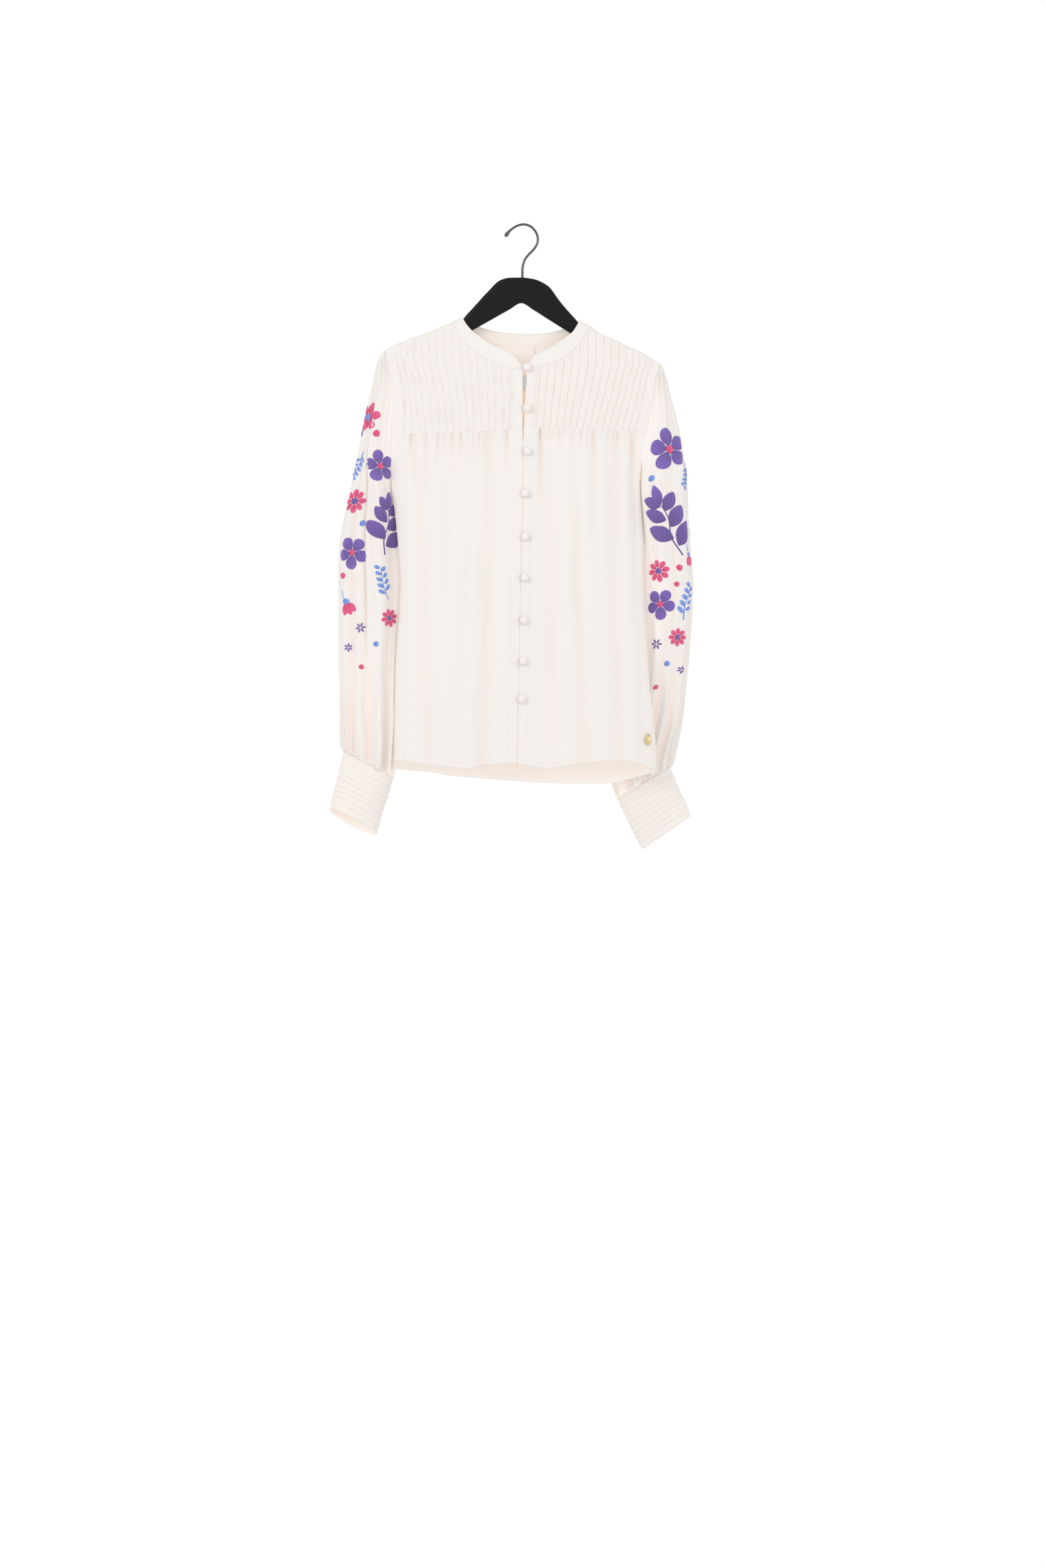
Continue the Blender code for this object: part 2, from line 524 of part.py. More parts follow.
def add_yoke(side):
    name = "yoke_right" if side == RIGHT else "yoke_left"
    columns = yoke_shares()
    plain, raised = [], []
    rows = len(TOP_STEPS) + len(YOKE_SHARES)
    arm = armhole_levels(side)

    def column_x(share, z):
        up = ease((z - arm[-3]) / 0.08)
        spread = share + TUCK_FAN * up * share * share * (1 - share)
        return mix(follow(FRONT_EDGE[side], z), side * follow(SIDE[side], z), spread)

    column_levels = []
    for share, _ in columns:
        top = mix(follow(NECK_FRONT[side], 0), arm[0], share)
        for _ in range(30):
            top = mix(top, top_of_front(side, column_x(share, top) * side), 0.5)
        low = follow(YOKE_SEAM[side], column_x(share, arm[-3]) * side)
        column_levels.append(levels(top, low))
    column_levels[-1] = arm[:rows]
    for i in range(rows):
        plain_row, raised_row = [], []
        for (share, height), column in zip(columns, column_levels):
            z = column[i]
            x = column_x(share, z)
            y = -body_depth(x, z, 1)
            if i == rows - 1:
                z += SEAM_GAP / 2
            if i == 0:
                z -= 0.0001
            if x * side >= NECK_WIDTH[side] and i == 0:
                y = -SEAM_GAP / 2 - 0.0001
            plain_row.append(Vector((x, y, z)))
            raised_row.append(height if 0 < i < rows - 1 else height * 0.6)
        plain.append(plain_row)
        raised.append(raised_row)

    def edge_axis(i, j):
        if i == 0 and plain[i][j].x * side >= NECK_WIDTH[side]:
            return 1
        return 0 if j in (0, len(columns) - 1) else 2 if i == rows - 1 else None

    def outward(p, i, j):
        return Vector((0, -1, 2.0 if i == 0 and p.x * side > NECK_WIDTH[side] * 0.97 else 0.2))

    facing = normals(plain, False, outward)
    outer = [[plain[i][j] + without(edge_axis(i, j), facing[i][j]) * raised[i][j]
              for j in range(len(columns))] for i in range(rows)]
    inner = inside_of(plain, False, outward, edge_axis)
    kept = [0] + [2 + 3 * k for k in range(TUCKS + 1)] + [len(columns) - 1]
    add_wall(name, outer, [[row[j] for j in kept] for row in inner], CREAM, kept)


def add_back():
    arms = {side: armhole_levels(side) for side in (RIGHT, LEFT)}
    rows = len(arms[RIGHT]) + len(LOWER_SHARES)

    def column_x(across, z):
        side = side_of(across)
        bunch = 1 + 0.55 * ease((follow(SIDE[side], z, 2) - 0.86) / 0.14)
        return mix(BACK_MIDDLE, side * follow(SIDE[side], z), 1 - (1 - abs(across)) ** bunch)

    column_levels = []
    for j in range(BACK_COLUMNS + 1):
        across = 2 * j / BACK_COLUMNS - 1
        side = side_of(across)
        top = mix(NECK_BACK[5][1], arms[side][0], abs(across))
        for _ in range(30):
            top = mix(top, top_of_back(column_x(across, top)), 0.5)
        chest = mix(arms[RIGHT][7], arms[LEFT][7], j / BACK_COLUMNS)
        column = levels(top, chest) + [MID_ARMHOLE_Z, UNDERARM_Z]
        if abs(across) == 1:
            column = arms[side]
        hem = follow(BACK_HEM, column_x(across, -0.745))
        column_levels.append(column + [mix(UNDERARM_Z, hem, share) for share in LOWER_SHARES])
    grid = []
    for i in range(rows):
        row = []
        for j in range(BACK_COLUMNS + 1):
            z = column_levels[j][i]
            x = column_x(2 * j / BACK_COLUMNS - 1, z)
            y = back_y(x, z)
            if i == 0 and abs(x) >= NECK_WIDTH[side_of(x)]:
                y = SEAM_GAP / 2 + 0.0001
            if j in (0, BACK_COLUMNS) and i >= 9:
                y = SEAM_GAP / 2
            row.append(Vector((x, y, z - (0.0001 if i == 0 else 0))))
        grid.append(row)

    def edge_axis(i, j):
        if i == 0 and abs(grid[i][j].x) >= NECK_WIDTH[side_of(grid[i][j].x)]:
            return 1
        if j in (0, BACK_COLUMNS):
            return 1 if i >= 9 else 0
        return None

    def outward(p, i, j):
        return Vector(((2 * j / BACK_COLUMNS - 1) ** 9, 1, 2.0 if i == 0 and abs(p.x) > 0.09 else 0.2))

    add_wall("back", grid, inside_of(grid, False, outward, edge_axis), CREAM)


def along_band():
    """Columns of the band as (seam x, top x, top z, back)."""
    found = []
    for i in range(len(BAND) - 1):
        before, after = BAND[max(0, i - 1)], BAND[min(len(BAND) - 1, i + 2)]
        for k in range(BAND_STEPS):
            t = k / BAND_STEPS
            values = []
            for c in range(3):
                a, b = BAND[i][c], BAND[i + 1][c]
                bend = (t * (1 - t) / 2) * ((1 - t) * (b - before[c]) - t * (after[c] - a) - (1 - 2 * t) * (b - a))
                values.append(mix(a, b, t) + bend * (0 if i in BAND_SIDES or i + 1 in BAND_SIDES else 1))
            found.append((*values, BAND_SIDES[0] <= i + t < BAND_SIDES[1], i + t))
    return found + [(*BAND[-1], False, len(BAND) - 1)]


def band_seam(seam_x, back, place):
    side = side_of(seam_x)
    if place in BAND_SIDES:
        return Vector((seam_x, 0, follow(SHOULDER[side], abs(seam_x))))
    if back:
        z = follow(NECK_BACK, seam_x)
        return Vector((seam_x, body_depth(seam_x, z, 2), z))
    z = follow(NECK_FRONT[side], abs(seam_x))
    return Vector((seam_x, -body_depth(seam_x, z, 1), z))


def add_band():
    grid = [[], []]
    for seam_x, top_x, top_z, back, place in along_band():
        low = band_seam(seam_x, back, place)
        top = Vector((top_x, low.y * 0.93, top_z))
        up = (top - low).normalized()
        for row, point in zip(grid, (top, low + up * NECK_GAP)):
            row.append(point)

    def outward(p, i, j):
        return Vector((p.x * 0.4, p.y * 1.5, 0.012))

    last = len(grid[0]) - 1
    inner = inside_of(grid, False, outward, lambda i, j: 0 if j in (0, last) else None)
    add_wall("neck_band", grid, inner, CREAM)


def ring_point(section, around, out=0.0):
    """A point of a sleeve or cuff section: around is 0 at the inner edge, 90 degrees at the front
    and 180 at the outer edge. section is (outer width, outer z, inner width, inner z, y, half depth)."""
    outer_w, outer_z, inner_w, inner_z, y, half_depth = section
    half = math.hypot(outer_w - inner_w, outer_z - inner_z) / 2
    reach = -math.cos(around) * (1 + out / half) / 2
    return (mix(inner_w, outer_w, 0.5 + reach), y - math.sin(around) * (half_depth + out),
            mix(inner_z, outer_z, 0.5 + reach))


def sleeve_place(side, i, place):
    """The sleeve's plain surface at row i, and at place round it: 0 and 1 are its seam."""
    ends = armhole_levels(side)[2:]
    front_half = place <= 0.5
    if i < len(HEAD_ROWS):
        tip = SHOULDER[side][-1][1]
        share, half_depth = HEAD_ROWS[i]
        middle_z, end_z = mix(tip, UNDERARM_Z, share), ends[i]
        outer, inner = follow(SLEEVE_HEAD[side], middle_z), follow(SIDE[side], end_z) + ARMHOLE_GAP
        edge = body_depth(side * follow(SIDE[side], end_z), end_z, 1 if front_half else 2)
        half_depth = max(half_depth, edge)
        first = math.asin(min(1, edge / half_depth))
        turn = 1 - abs(2 * place - 1)
        around = mix(first, math.pi, turn)
        half = (outer - inner) / (1 + math.cos(first))
        width = outer - half * (1 + math.cos(around))
        y = half_depth * math.sin(around) * (-1 if front_half else 1)
        lift = (math.cos(first) - math.cos(around)) / (1 + math.cos(first))
        return width, y, mix(end_z, middle_z, lift)
    return ring_point(SLEEVE[side][i - len(HEAD_ROWS)], math.tau * place)


def sleeve_lift(side, place, down):
    """How far the folds and gathers stand out of the sleeve's plain surface."""
    away = ease(min(place, 1 - place) / 0.05)
    lift = sum(three_heights(fold, 2, down) * bump(place - fold[0], fold[1]) for fold in SLEEVE_FOLDS[side])
    uneven = place + 0.010 * math.sin(math.tau * 3 * place + 1.3 * side)
    lift += follow(GATHER_HEIGHT, down) * math.cos(math.tau * GATHERS * uneven)
    if side == RIGHT:
        beyond = place - PLEAT_PLACE
        step = follow(PLEAT, down) * math.exp(-abs(beyond) / PLEAT_SPREAD)
        lift += -step if beyond > 0 else step
    return lift * away * ease(down / 0.15)


def add_sleeve(side):
    name = "sleeve_right" if side == RIGHT else "sleeve_left"
    head = len(HEAD_ROWS)
    rows = head + len(SLEEVE[side])
    tip, end = SHOULDER[side][-1][1], SLEEVE[side][-1][1]
    places = [j / SLEEVE_COLUMNS for j in range(SLEEVE_COLUMNS + 1)]
    pleat = [j for j in range(SLEEVE_COLUMNS) if places[j] < PLEAT_PLACE <= places[j + 1]][0]
    plain, lifts = [], []
    for i in range(rows):
        row, row_lifts = [], []
        for j, place in enumerate(places):
            width, y, z = sleeve_place(side, i, place)
            down = (tip - z) / (tip - end)
            lift = sleeve_lift(side, place, max(0, min(1, down)))
            if side == RIGHT and j in (pleat, pleat + 1):
                tuck_in = follow(PLEAT, down) / 0.0032 * 0.6
                toward = places[pleat + 1] if j == pleat else places[pleat]
                other = sleeve_place(side, i, toward)
                width, y, z = (mix(a, b, tuck_in) for a, b in zip((width, y, z), other))
            if j in (0, SLEEVE_COLUMNS) and i >= head - 1:
                y += SEAM_GAP / 2 * (-1 if j == 0 else 1)
            row.append(Vector((side * width, y, z + (SEAM_GAP / 2 if i == rows - 1 else 0))))
            row_lifts.append(lift if 0 < i else 0)
        plain.append(row)
        lifts.append(row_lifts)

    def outward(p, i, j):
        place = places[j]
        return Vector((-side * math.cos(math.tau * place) * 0.8, -math.sin(math.tau * place),
                       1.0 if i < 3 else 0.1))

    def edge_axis(i, j):
        if j in (0, SLEEVE_COLUMNS):
            return 1 if i >= head - 1 else 0
        return 0 if i == 0 else None

    facing = normals(plain, False, outward)
    outer = [[plain[i][j] + without(edge_axis(i, j), facing[i][j]) * lifts[i][j]
              for j in range(len(places))] for i in range(rows)]
    add_wall(name, outer, inside_of(outer, False, outward, edge_axis), CREAM)


def cuff_section(side, down):
    top, low, y_top, y_low, depth_top, depth_low, _ = CUFF[side]
    return (*(mix(a, b, down) for a, b in zip(top, low)), mix(y_top, y_low, down),
            mix(depth_top, depth_low, down))


def add_cuff(side):
    name = "cuff_right" if side == RIGHT else "cuff_left"
    rows = [(0, 0)]
    for k in range(CUFF_TUCKS):
        at = CUFF_FIRST + k * CUFF_PITCH
        rows += [(at - 0.008, 0), (at + 0.008, CUFF_TUCK_HEIGHT)]
    rows += [(0.94, 0), (1, 0)]

    def ring(down, out):
        found = []
        for j in range(CUFF_COLUMNS):
            around = math.tau * j / CUFF_COLUMNS
            width, y, z = ring_point(cuff_section(side, down), around, out)
            raised = CUFF[side][6] * ease(down) * math.sin(around)
            found.append(Vector((side * width, y, z + raised - SEAM_GAP / 2)))
        return found

    outer = [ring(down, height) for down, height in rows]
    inner = [ring(down, -WALL) for down in (0, 0.3, 0.6, 0.85, 1)]
    add_wall(name, outer, inner, CREAM, closed=True)


def front_surface(x, z):
    """How far forward the made cloth reaches at (x, z), and which way it faces there."""
    found = []
    for name in ("yoke_right", "yoke_left", "front_right", "front_left", "neck_band"):
        hit, place, facing, _ = bpy.data.objects[name].ray_cast(Vector((x, -0.2, z)), Vector((0, 1, 0)))
        if hit and place.y < 0:
            found.append((place.y, facing))
    return min(found, key=lambda each: each[0], default=(0, None))


def add_button(number, x, z):
    near = (-0.0012, 0, 0.0012)
    base = min(front_surface(x + dx, z + dz)[0] for dx in near for dz in near)
    rings = [[Vector((x + radius * math.cos(a), base - out, z + radius * math.sin(a)))
              for a in (math.tau * k / BUTTON_SIDES for k in range(BUTTON_SIDES))]
             for out, radius in BUTTON]
    add_rings(f"button_{number}", rings, CREAM)


def add_loop(number, x, z):
    start = follow(FRONT_EDGE[RIGHT], z) - LOOP_REACH
    flat = [(start, z + 0.0030), (x - 0.0016, z + 0.0038)]
    for k in range(1, 4):
        angle = math.radians(90 - 45 * k)
        flat.append((x + LOOP_RADIUS * math.cos(angle), z + LOOP_RADIUS * math.sin(angle)))
    flat += [(x - 0.0016, z - 0.0038), (start, z - 0.0030)]
    base = min(front_surface(px + dx, pz)[0] for px, pz in flat for dx in (-0.001, 0, 0.001))
    path = [Vector((px, base - 0.0003 - LOOP_WIRE, pz)) for px, pz in flat]
    add_rings(f"loop_{number}", tube_rings(path, [LOOP_WIRE] * len(path), 4, Vector((0, 1, 0))), CREAM)


def add_label(name, left, right, top, bottom):
    grid = []
    for i in range(3):
        row = []
        for j in range(5):
            x, z = mix(left, right, j / 4), mix(top, bottom, i / 2)
            row.append(Vector((x, back_y(x, z) - WALL - 0.0010 - LABEL_WALL, z)))
        grid.append(row)
    inner = inside_of(grid, False, lambda p, i, j: Vector((0, -1, 0)), lambda i, j: None, LABEL_WALL)
    add_wall(name, grid, inner, NECK_LABEL)


def add_hanger():
    rings = []
    widest = math.cos(math.pi / HANGER_SIDES)
    for x, top, bottom, half_thick in HANGER:
        ring = []
        for k in range(HANGER_SIDES):
            angle = math.tau * (k + 0.5) / HANGER_SIDES
            power = 2 / HANGER_CORNER
            up = math.copysign(abs(math.sin(angle) / widest) ** power, math.sin(angle))
            out = math.copysign(abs(math.cos(angle) / widest) ** power, math.cos(angle))
            ring.append(Vector((x, half_thick * out, (top + bottom) / 2 + (top - bottom) / 2 * up)))
        rings.append(ring)
    add_rings("hanger", rings, BLACK)
    path = [Vector((x, 0, z)) for x, z, _ in HOOK]
    add_rings("hanger_hook", tube_rings(path, [r for _, _, r in HOOK], 8, Vector((0, 1, 0))), GUNMETAL,
              0.35, 1.0)


def charm_frame():
    """The charm's own axes: along the cloth, out of it, and the point that its eye turns about."""
    x, z = CHARM_AT
    y, facing = front_surface(x, z)
    out = without(2, facing)
    return Vector((-out.y, out.x, 0)), out, Vector((x, y, z))


def add_charm():
    across, out, at = charm_frame()
    outline = CHARM_OUTLINE + [(360 - angle, size) for angle, size in CHARM_OUTLINE[-2:0:-1]]
    count = len(outline)
    middle = at + out * CHARM_STANDOFF + Vector((0, 0, -0.0006))
    rings = []
    for size, depth in ((None, 1), (CHARM_EYE, 1), (CHARM_EYE, -1), (None, -1)):
        ring = []
        for angle, edge in outline:
            turn = math.radians(angle)
            radius = edge if size is None else size
            ring.append(middle + out * depth * CHARM_THICK / 2
                        + (across * math.sin(turn) + Vector((0, 0, 1)) * math.cos(turn)) * radius)
        rings.append(ring)
    faces = [(i * count + j, i * count + (j + 1) % count, (i + 1) % 4 * count + (j + 1) % count,
              (i + 1) % 4 * count + j) for i in range(4) for j in range(count)]
    add_solid("charm", [point for ring in rings for point in ring], faces, GOLD, 0.3, 1.0)

    up = Vector((0, 0, 1))
    path = [at + out * 0.0005, at + out * 0.0036, at + out * 0.0043 + up * 0.0008,
            at + out * 0.0043 + up * 0.0026, at + out * 0.0036 + up * 0.0034, at + out * 0.0005 + up * 0.0034]
    add_rings("charm_loop", tube_rings(path, [CHARM_THREAD] * len(path), 6, across), CREAM)


for old in list(bpy.data.objects):
    bpy.data.objects.remove(old)

for each in (RIGHT, LEFT):
    add_front(each)
    add_yoke(each)
    add_sleeve(each)
    add_cuff(each)
add_back()
add_band()
for number, (button_x, button_z) in enumerate(BUTTONS, 1):
    add_button(number, button_x, button_z)
    add_loop(number, button_x, button_z)
for label in LABELS:
    add_label(*label)
add_hanger()
add_charm()
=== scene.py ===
import json
import math

import bmesh
import bpy
import numpy as np
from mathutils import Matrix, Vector


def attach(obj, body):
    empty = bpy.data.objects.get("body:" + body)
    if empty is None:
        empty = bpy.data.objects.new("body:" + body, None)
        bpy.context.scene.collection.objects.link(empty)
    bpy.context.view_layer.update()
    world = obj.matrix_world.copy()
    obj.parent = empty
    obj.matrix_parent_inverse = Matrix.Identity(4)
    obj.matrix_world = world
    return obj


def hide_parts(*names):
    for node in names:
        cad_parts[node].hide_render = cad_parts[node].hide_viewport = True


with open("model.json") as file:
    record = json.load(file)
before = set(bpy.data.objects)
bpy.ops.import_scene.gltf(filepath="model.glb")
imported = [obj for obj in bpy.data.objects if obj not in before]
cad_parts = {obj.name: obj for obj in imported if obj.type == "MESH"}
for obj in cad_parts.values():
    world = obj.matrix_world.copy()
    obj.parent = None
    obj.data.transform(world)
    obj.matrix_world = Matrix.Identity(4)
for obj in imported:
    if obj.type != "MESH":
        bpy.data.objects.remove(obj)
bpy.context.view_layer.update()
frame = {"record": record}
print("blouse: frame loaded")

# Metres: x to the viewer's right, y to the back, z up, from the inside of the hook's top.
# right and left are the wearer's sides, at -x and +x. Widths are distances from x = 0.
right, left = -1, 1
tau = math.tau


def mix(a, b, share):
    return a + (b - a) * share


def mm(rows, *kept):
    # rows of millimetres or thousandths in metres or ones, but for the kept columns
    if isinstance(rows, dict):
        return {side: mm(part, *kept) for side, part in rows.items()}
    return [tuple(value if c in kept else round(value / 1000, 8) for c, value in enumerate(row))
            for row in rows]


def ease(value):
    value = np.clip(value, 0, 1)
    return value * value * (3 - 2 * value)


def bump(distance, halfWidth):
    return np.exp(-(distance / halfWidth) ** 2)


def through(rows, far, want, tangent):
    # a smooth line or surface through rows, at the distances wanted
    i = np.clip(np.searchsorted(far, want, side="right") - 1, 0, len(far) - 2)
    thin = (...,) + (None,) * (rows.ndim - 1)
    span = (far[i + 1] - far[i])[thin]
    t = (want - far[i])[thin] / span
    return (rows[i] * (1 + 2 * t) * (1 - t) ** 2 + rows[i + 1] * t * t * (3 - 2 * t)
            + span * (tangent[i] * t * (1 - t) ** 2 - tangent[i + 1] * t * t * (1 - t)))


def distances(points):
    # how far along a line each of its points lies
    return np.append(0, np.cumsum(np.linalg.norm(np.diff(points, axis=0), axis=1)))


def along(table, key, column=1):
    # a smooth curve through one column of the table, which never passes its rows
    rows = np.array([(row[0], row[column]) for row in table], float)
    if rows[0, 0] > rows[-1, 0]:
        rows = rows[::-1]
    at, value = rows[:, 0], rows[:, 1]
    key = np.clip(np.asarray(key, float), at[0], at[-1])
    slope = np.diff(value) / np.diff(at)
    before, after = slope[:-1], slope[1:]
    both = np.where(before + after == 0, 1, before + after)
    middle = np.where(before * after > 0, 2 * before * after / both, 0)
    return through(value, at, key, np.concatenate([slope[:1], middle, slope[-1:]]))


def bySide(tables, x, key, column=1):
    return np.where(x < 0, along(tables[right], key, column), along(tables[left], key, column))


def ripples(u, v, seed, waves=14):
    # uneven smooth waves of about -1 to 1, with u and v counted in wavelengths
    draw = np.random.default_rng(seed)
    total = 0
    for _ in range(waves):
        turn, pace, start = draw.uniform(0, tau), draw.uniform(0.6, 1.5), draw.uniform(0, tau)
        total = total + np.sin(tau * pace * (u * math.cos(turn) + v * math.sin(turn)) + start)
    return total / math.sqrt(waves) * 0.9


def oddly(values):
    # one more value in the widest gap where their count is even
    values = np.array(values, float)
    if len(values) % 2 == 0:
        gap = int(np.argmax(np.diff(values)))
        values = np.insert(values, gap + 1, (values[gap] + values[gap + 1]) / 2)
    return values


def unit(vectors):
    return vectors / np.maximum(np.linalg.norm(vectors, axis=-1, keepdims=True), 1e-12)


def facingOf(grid, toward, wrap=False):
    # unit normals of a grid of points, on the side that toward mostly points to
    if wrap:
        across = np.roll(grid, -1, 1) - np.roll(grid, 1, 1)
    else:
        across = np.gradient(grid, axis=1)
    facing = unit(np.cross(across, np.gradient(grid, axis=0)))
    return facing if (facing * toward).sum() > 0 else -facing


def insideOf(grid, facing, flat, thickness):
    # every second point, moved in by the thickness; flat lists (rows, columns, axis left out)
    away = facing.copy()
    for rows, columns, axis in flat:
        away[rows, columns, axis] = 0
    return (grid - unit(away) * thickness)[::2, ::2]


def valleys(lift, steps=(2, 5), depth=0.0007):
    # how deep each point lies between its neighbours to the sides, 0 to 1
    total = 0
    for step in steps:
        wide = np.pad(lift, ((0, 0), (step, step)), "edge")
        total = total + np.clip((wide[:, 2 * step:] + wide[:, :-2 * step]) / 2 - lift, 0, None)
    return np.clip(total / len(steps) / depth, 0, 1)


class Wire:
    # one output socket: sums on it add Math nodes
    def __init__(self, finish, socket):
        self.finish = finish
        self.socket = socket

    def worked(self, operation, first, second):
        return self.finish.node("ShaderNodeMath", {"operation": operation}, {0: first, 1: second})

    def __add__(self, other):
        return self.worked("ADD", self, other)

    def __radd__(self, other):
        return self.worked("ADD", other, self)

    def __sub__(self, other):
        return self.worked("SUBTRACT", self, other)

    def __mul__(self, other):
        return self.worked("MULTIPLY", self, other)


class Finish:
    # a material: look sets the shader's own sockets, and node adds any other node
    def __init__(self, name, look):
        self.material = bpy.data.materials.new(name)
        self.material.use_nodes = True
        self.tree = self.material.node_tree
        self.shader = self.tree.nodes["Principled BSDF"]
        for key, value in look.items():
            self.shader.inputs[key].default_value = value

    def node(self, kind, settings=None, sockets=None, output=0):
        made = self.tree.nodes.new(kind)
        for key, value in (settings or {}).items():
            setattr(made, key, value)
        for key, value in (sockets or {}).items():
            self.fill(made.inputs[key], value)
        return Wire(self, made.outputs[output])

    def fill(self, socket, value):
        if isinstance(value, Wire):
            self.tree.links.new(value.socket, socket)
        else:
            socket.default_value = value

    def feed(self, name, value):
        self.fill(self.shader.inputs[name], value)

    def blend(self, share, first, second):
        return self.node("ShaderNodeMix", {"data_type": "RGBA"}, {0: share, 6: first, 7: second}, 2)

    def value(self, name):
        return self.node("ShaderNodeAttribute", {"attribute_name": name}, output="Fac")

    def noise(self, scale, stretch=(1, 1, 1), detail=2.0):
        place = self.node("ShaderNodeTexCoord", output="Object")
        moved = self.node("ShaderNodeVectorMath", {"operation": "MULTIPLY"}, {0: place, 1: stretch})
        return self.node("ShaderNodeTexNoise", None, {"Vector": moved, "Scale": scale, "Detail": detail})

    def bumped(self, height, distance, strength=1.0):
        return self.node("ShaderNodeBump", None,
                         {"Height": height, "Distance": distance, "Strength": strength})


cloth = {
    "cream": (0.868, 0.832, 0.800, 1),
    "paintedShade": (0.87, 0.70, 0.60, 1),  # painted shade: the warm tint where the cloth folds into itself
    # painted glow: the warm tint of the inner side and of other spots that are given painted glow
    "inside": (0.90, 0.85, 0.80, 1),
    # painted glow, by emission, for daylight that comes through the thin cloth to its inner side, near an
    # opening and far from one
    "glowNear": (1.0, 0.94, 0.90, 1),
    "glowFar": (1.0, 0.73, 0.48, 1),
    "glowStrength": 0.17,
    "label": (0.87, 0.83, 0.83, 1),
    "tape": (0.62, 0.74, 0.78, 1),
    "wall": 0.0011,
    "sheen": 0.15,
    "grain": 0.00012,
    "paintedShadeShare": 0.42,  # how far the deepest painted shade takes its tint, and the inner side's painted glow its own
    "insideShare": 0.7,
    "darker": (0.965, 0.35),  # the colour of the threads' shade, and how much of it shows
    "nearShare": 0.4,  # how far in the near glow is full
}


def clothFinish(name, colour, paintedShade, inside, slub=1.0):
    finish = Finish(name, {"Roughness": 0.82, "Sheen Weight": cloth["sheen"], "Sheen Roughness": 0.45,
                           "Specular IOR Level": 0.25, "Emission Strength": cloth["glowStrength"]})
    down, across = finish.noise(900, (1, 1, 0.12)), finish.noise(1100, (0.25, 0.25, 1))
    cloud = finish.noise(14, detail=3.0)
    # painted shade: the valleys of folds and tucks tinted warm tan
    tinted = finish.blend(finish.value("paintedShade") * cloth["paintedShadeShare"], colour, paintedShade)
    # painted glow: a warm tint and an emission glow where the mesh asks for it, standing for light through
    # the thin cloth
    glowAmount = finish.value("inside")
    turned = finish.blend(glowAmount * cloth["insideShare"], tinted, inside)
    glow = finish.blend(glowAmount * (1 / cloth["nearShare"]), (0, 0, 0, 1), cloth["glowNear"])
    finish.feed("Emission Color", finish.blend(glowAmount * 1.7 - 0.7, glow, cloth["glowFar"]))
    darker, share = cloth["darker"]
    shade = tuple(part * darker for part in colour[:3]) + (1,)
    finish.feed("Base Color", finish.blend((cloud * 0.5 + down * 0.5) * share, turned, shade))
    finish.feed("Normal", finish.bumped(down * 0.6 + across * 0.4, cloth["grain"] * slub, 0.7))
    return finish.material


def plainFinish(name, colour, look, grain=None):
    # grain is the spots' scale, how deep they bump, and their stretch
    finish = Finish(name, {"Base Color": colour, **look})
    if grain:
        scale, distance, stretch = grain
        spots = finish.noise(scale, stretch)
        finish.feed("Roughness", look["Roughness"] * 0.85 + spots * (look["Roughness"] * 0.3))
        finish.feed("Normal", finish.bumped(spots, distance))
    return finish.material


blouseCloth = clothFinish("creamViscose", cloth["cream"], cloth["paintedShade"], cloth["inside"])
labelCloth = clothFinish("labelSatin", cloth["label"], cloth["paintedShade"], cloth["label"], 0.5)
tapeCloth = clothFinish("paleTape", cloth["tape"], cloth["tape"], cloth["tape"], 0.5)
stitchThread = plainFinish("creamThread", (0.86, 0.80, 0.75, 1), {"Roughness": 0.6})


thread = {
    "pitch": 0.00085,
    "height": 0.00018,
    "between": (0.55, 0.55, 0.60, 1),  # painted shade: what the dye is darkened by between two threads
    # painted highlight: the pale tint of each thread's top, and how much of it
    "paintedGleam": (0.85, 0.80, 0.95, 1),
    "paintedGleamShare": 0.16,
    "plain": 0.35,  # share of the bare dye
}


def threadFinish():
    # satin stitch: threads side by side, dyed by the mesh, with painted shade between the threads and a
    # painted highlight on their tops
    finish = Finish("embroideryThread", {"Roughness": 0.5, "Sheen Weight": 0.25, "Specular IOR Level": 0.4})
    dye = finish.node("ShaderNodeAttribute", {"attribute_name": "dye"}, output="Color")
    across = finish.value("thread") * (tau / thread["pitch"]) + finish.noise(260) * 2.2
    ridge = finish.node("ShaderNodeMath", {"operation": "SINE"}, {0: across}) * 0.5 + 0.5
    uneven = finish.noise(420, detail=3.0)
    dark = finish.node("ShaderNodeMix", {"data_type": "RGBA", "blend_type": "MULTIPLY"},
                       {0: 1.0, 6: dye, 7: thread["between"]}, 2)
    pale = finish.blend(thread["paintedGleamShare"], dye, thread["paintedGleam"])
    shade = finish.blend(ridge * 0.75 + uneven * 0.25, dark, pale)
    finish.feed("Base Color", finish.blend(thread["plain"], shade, dye))
    finish.feed("Normal", finish.bumped(ridge, thread["height"]))
    return finish.material


embroideryThread = threadFinish()


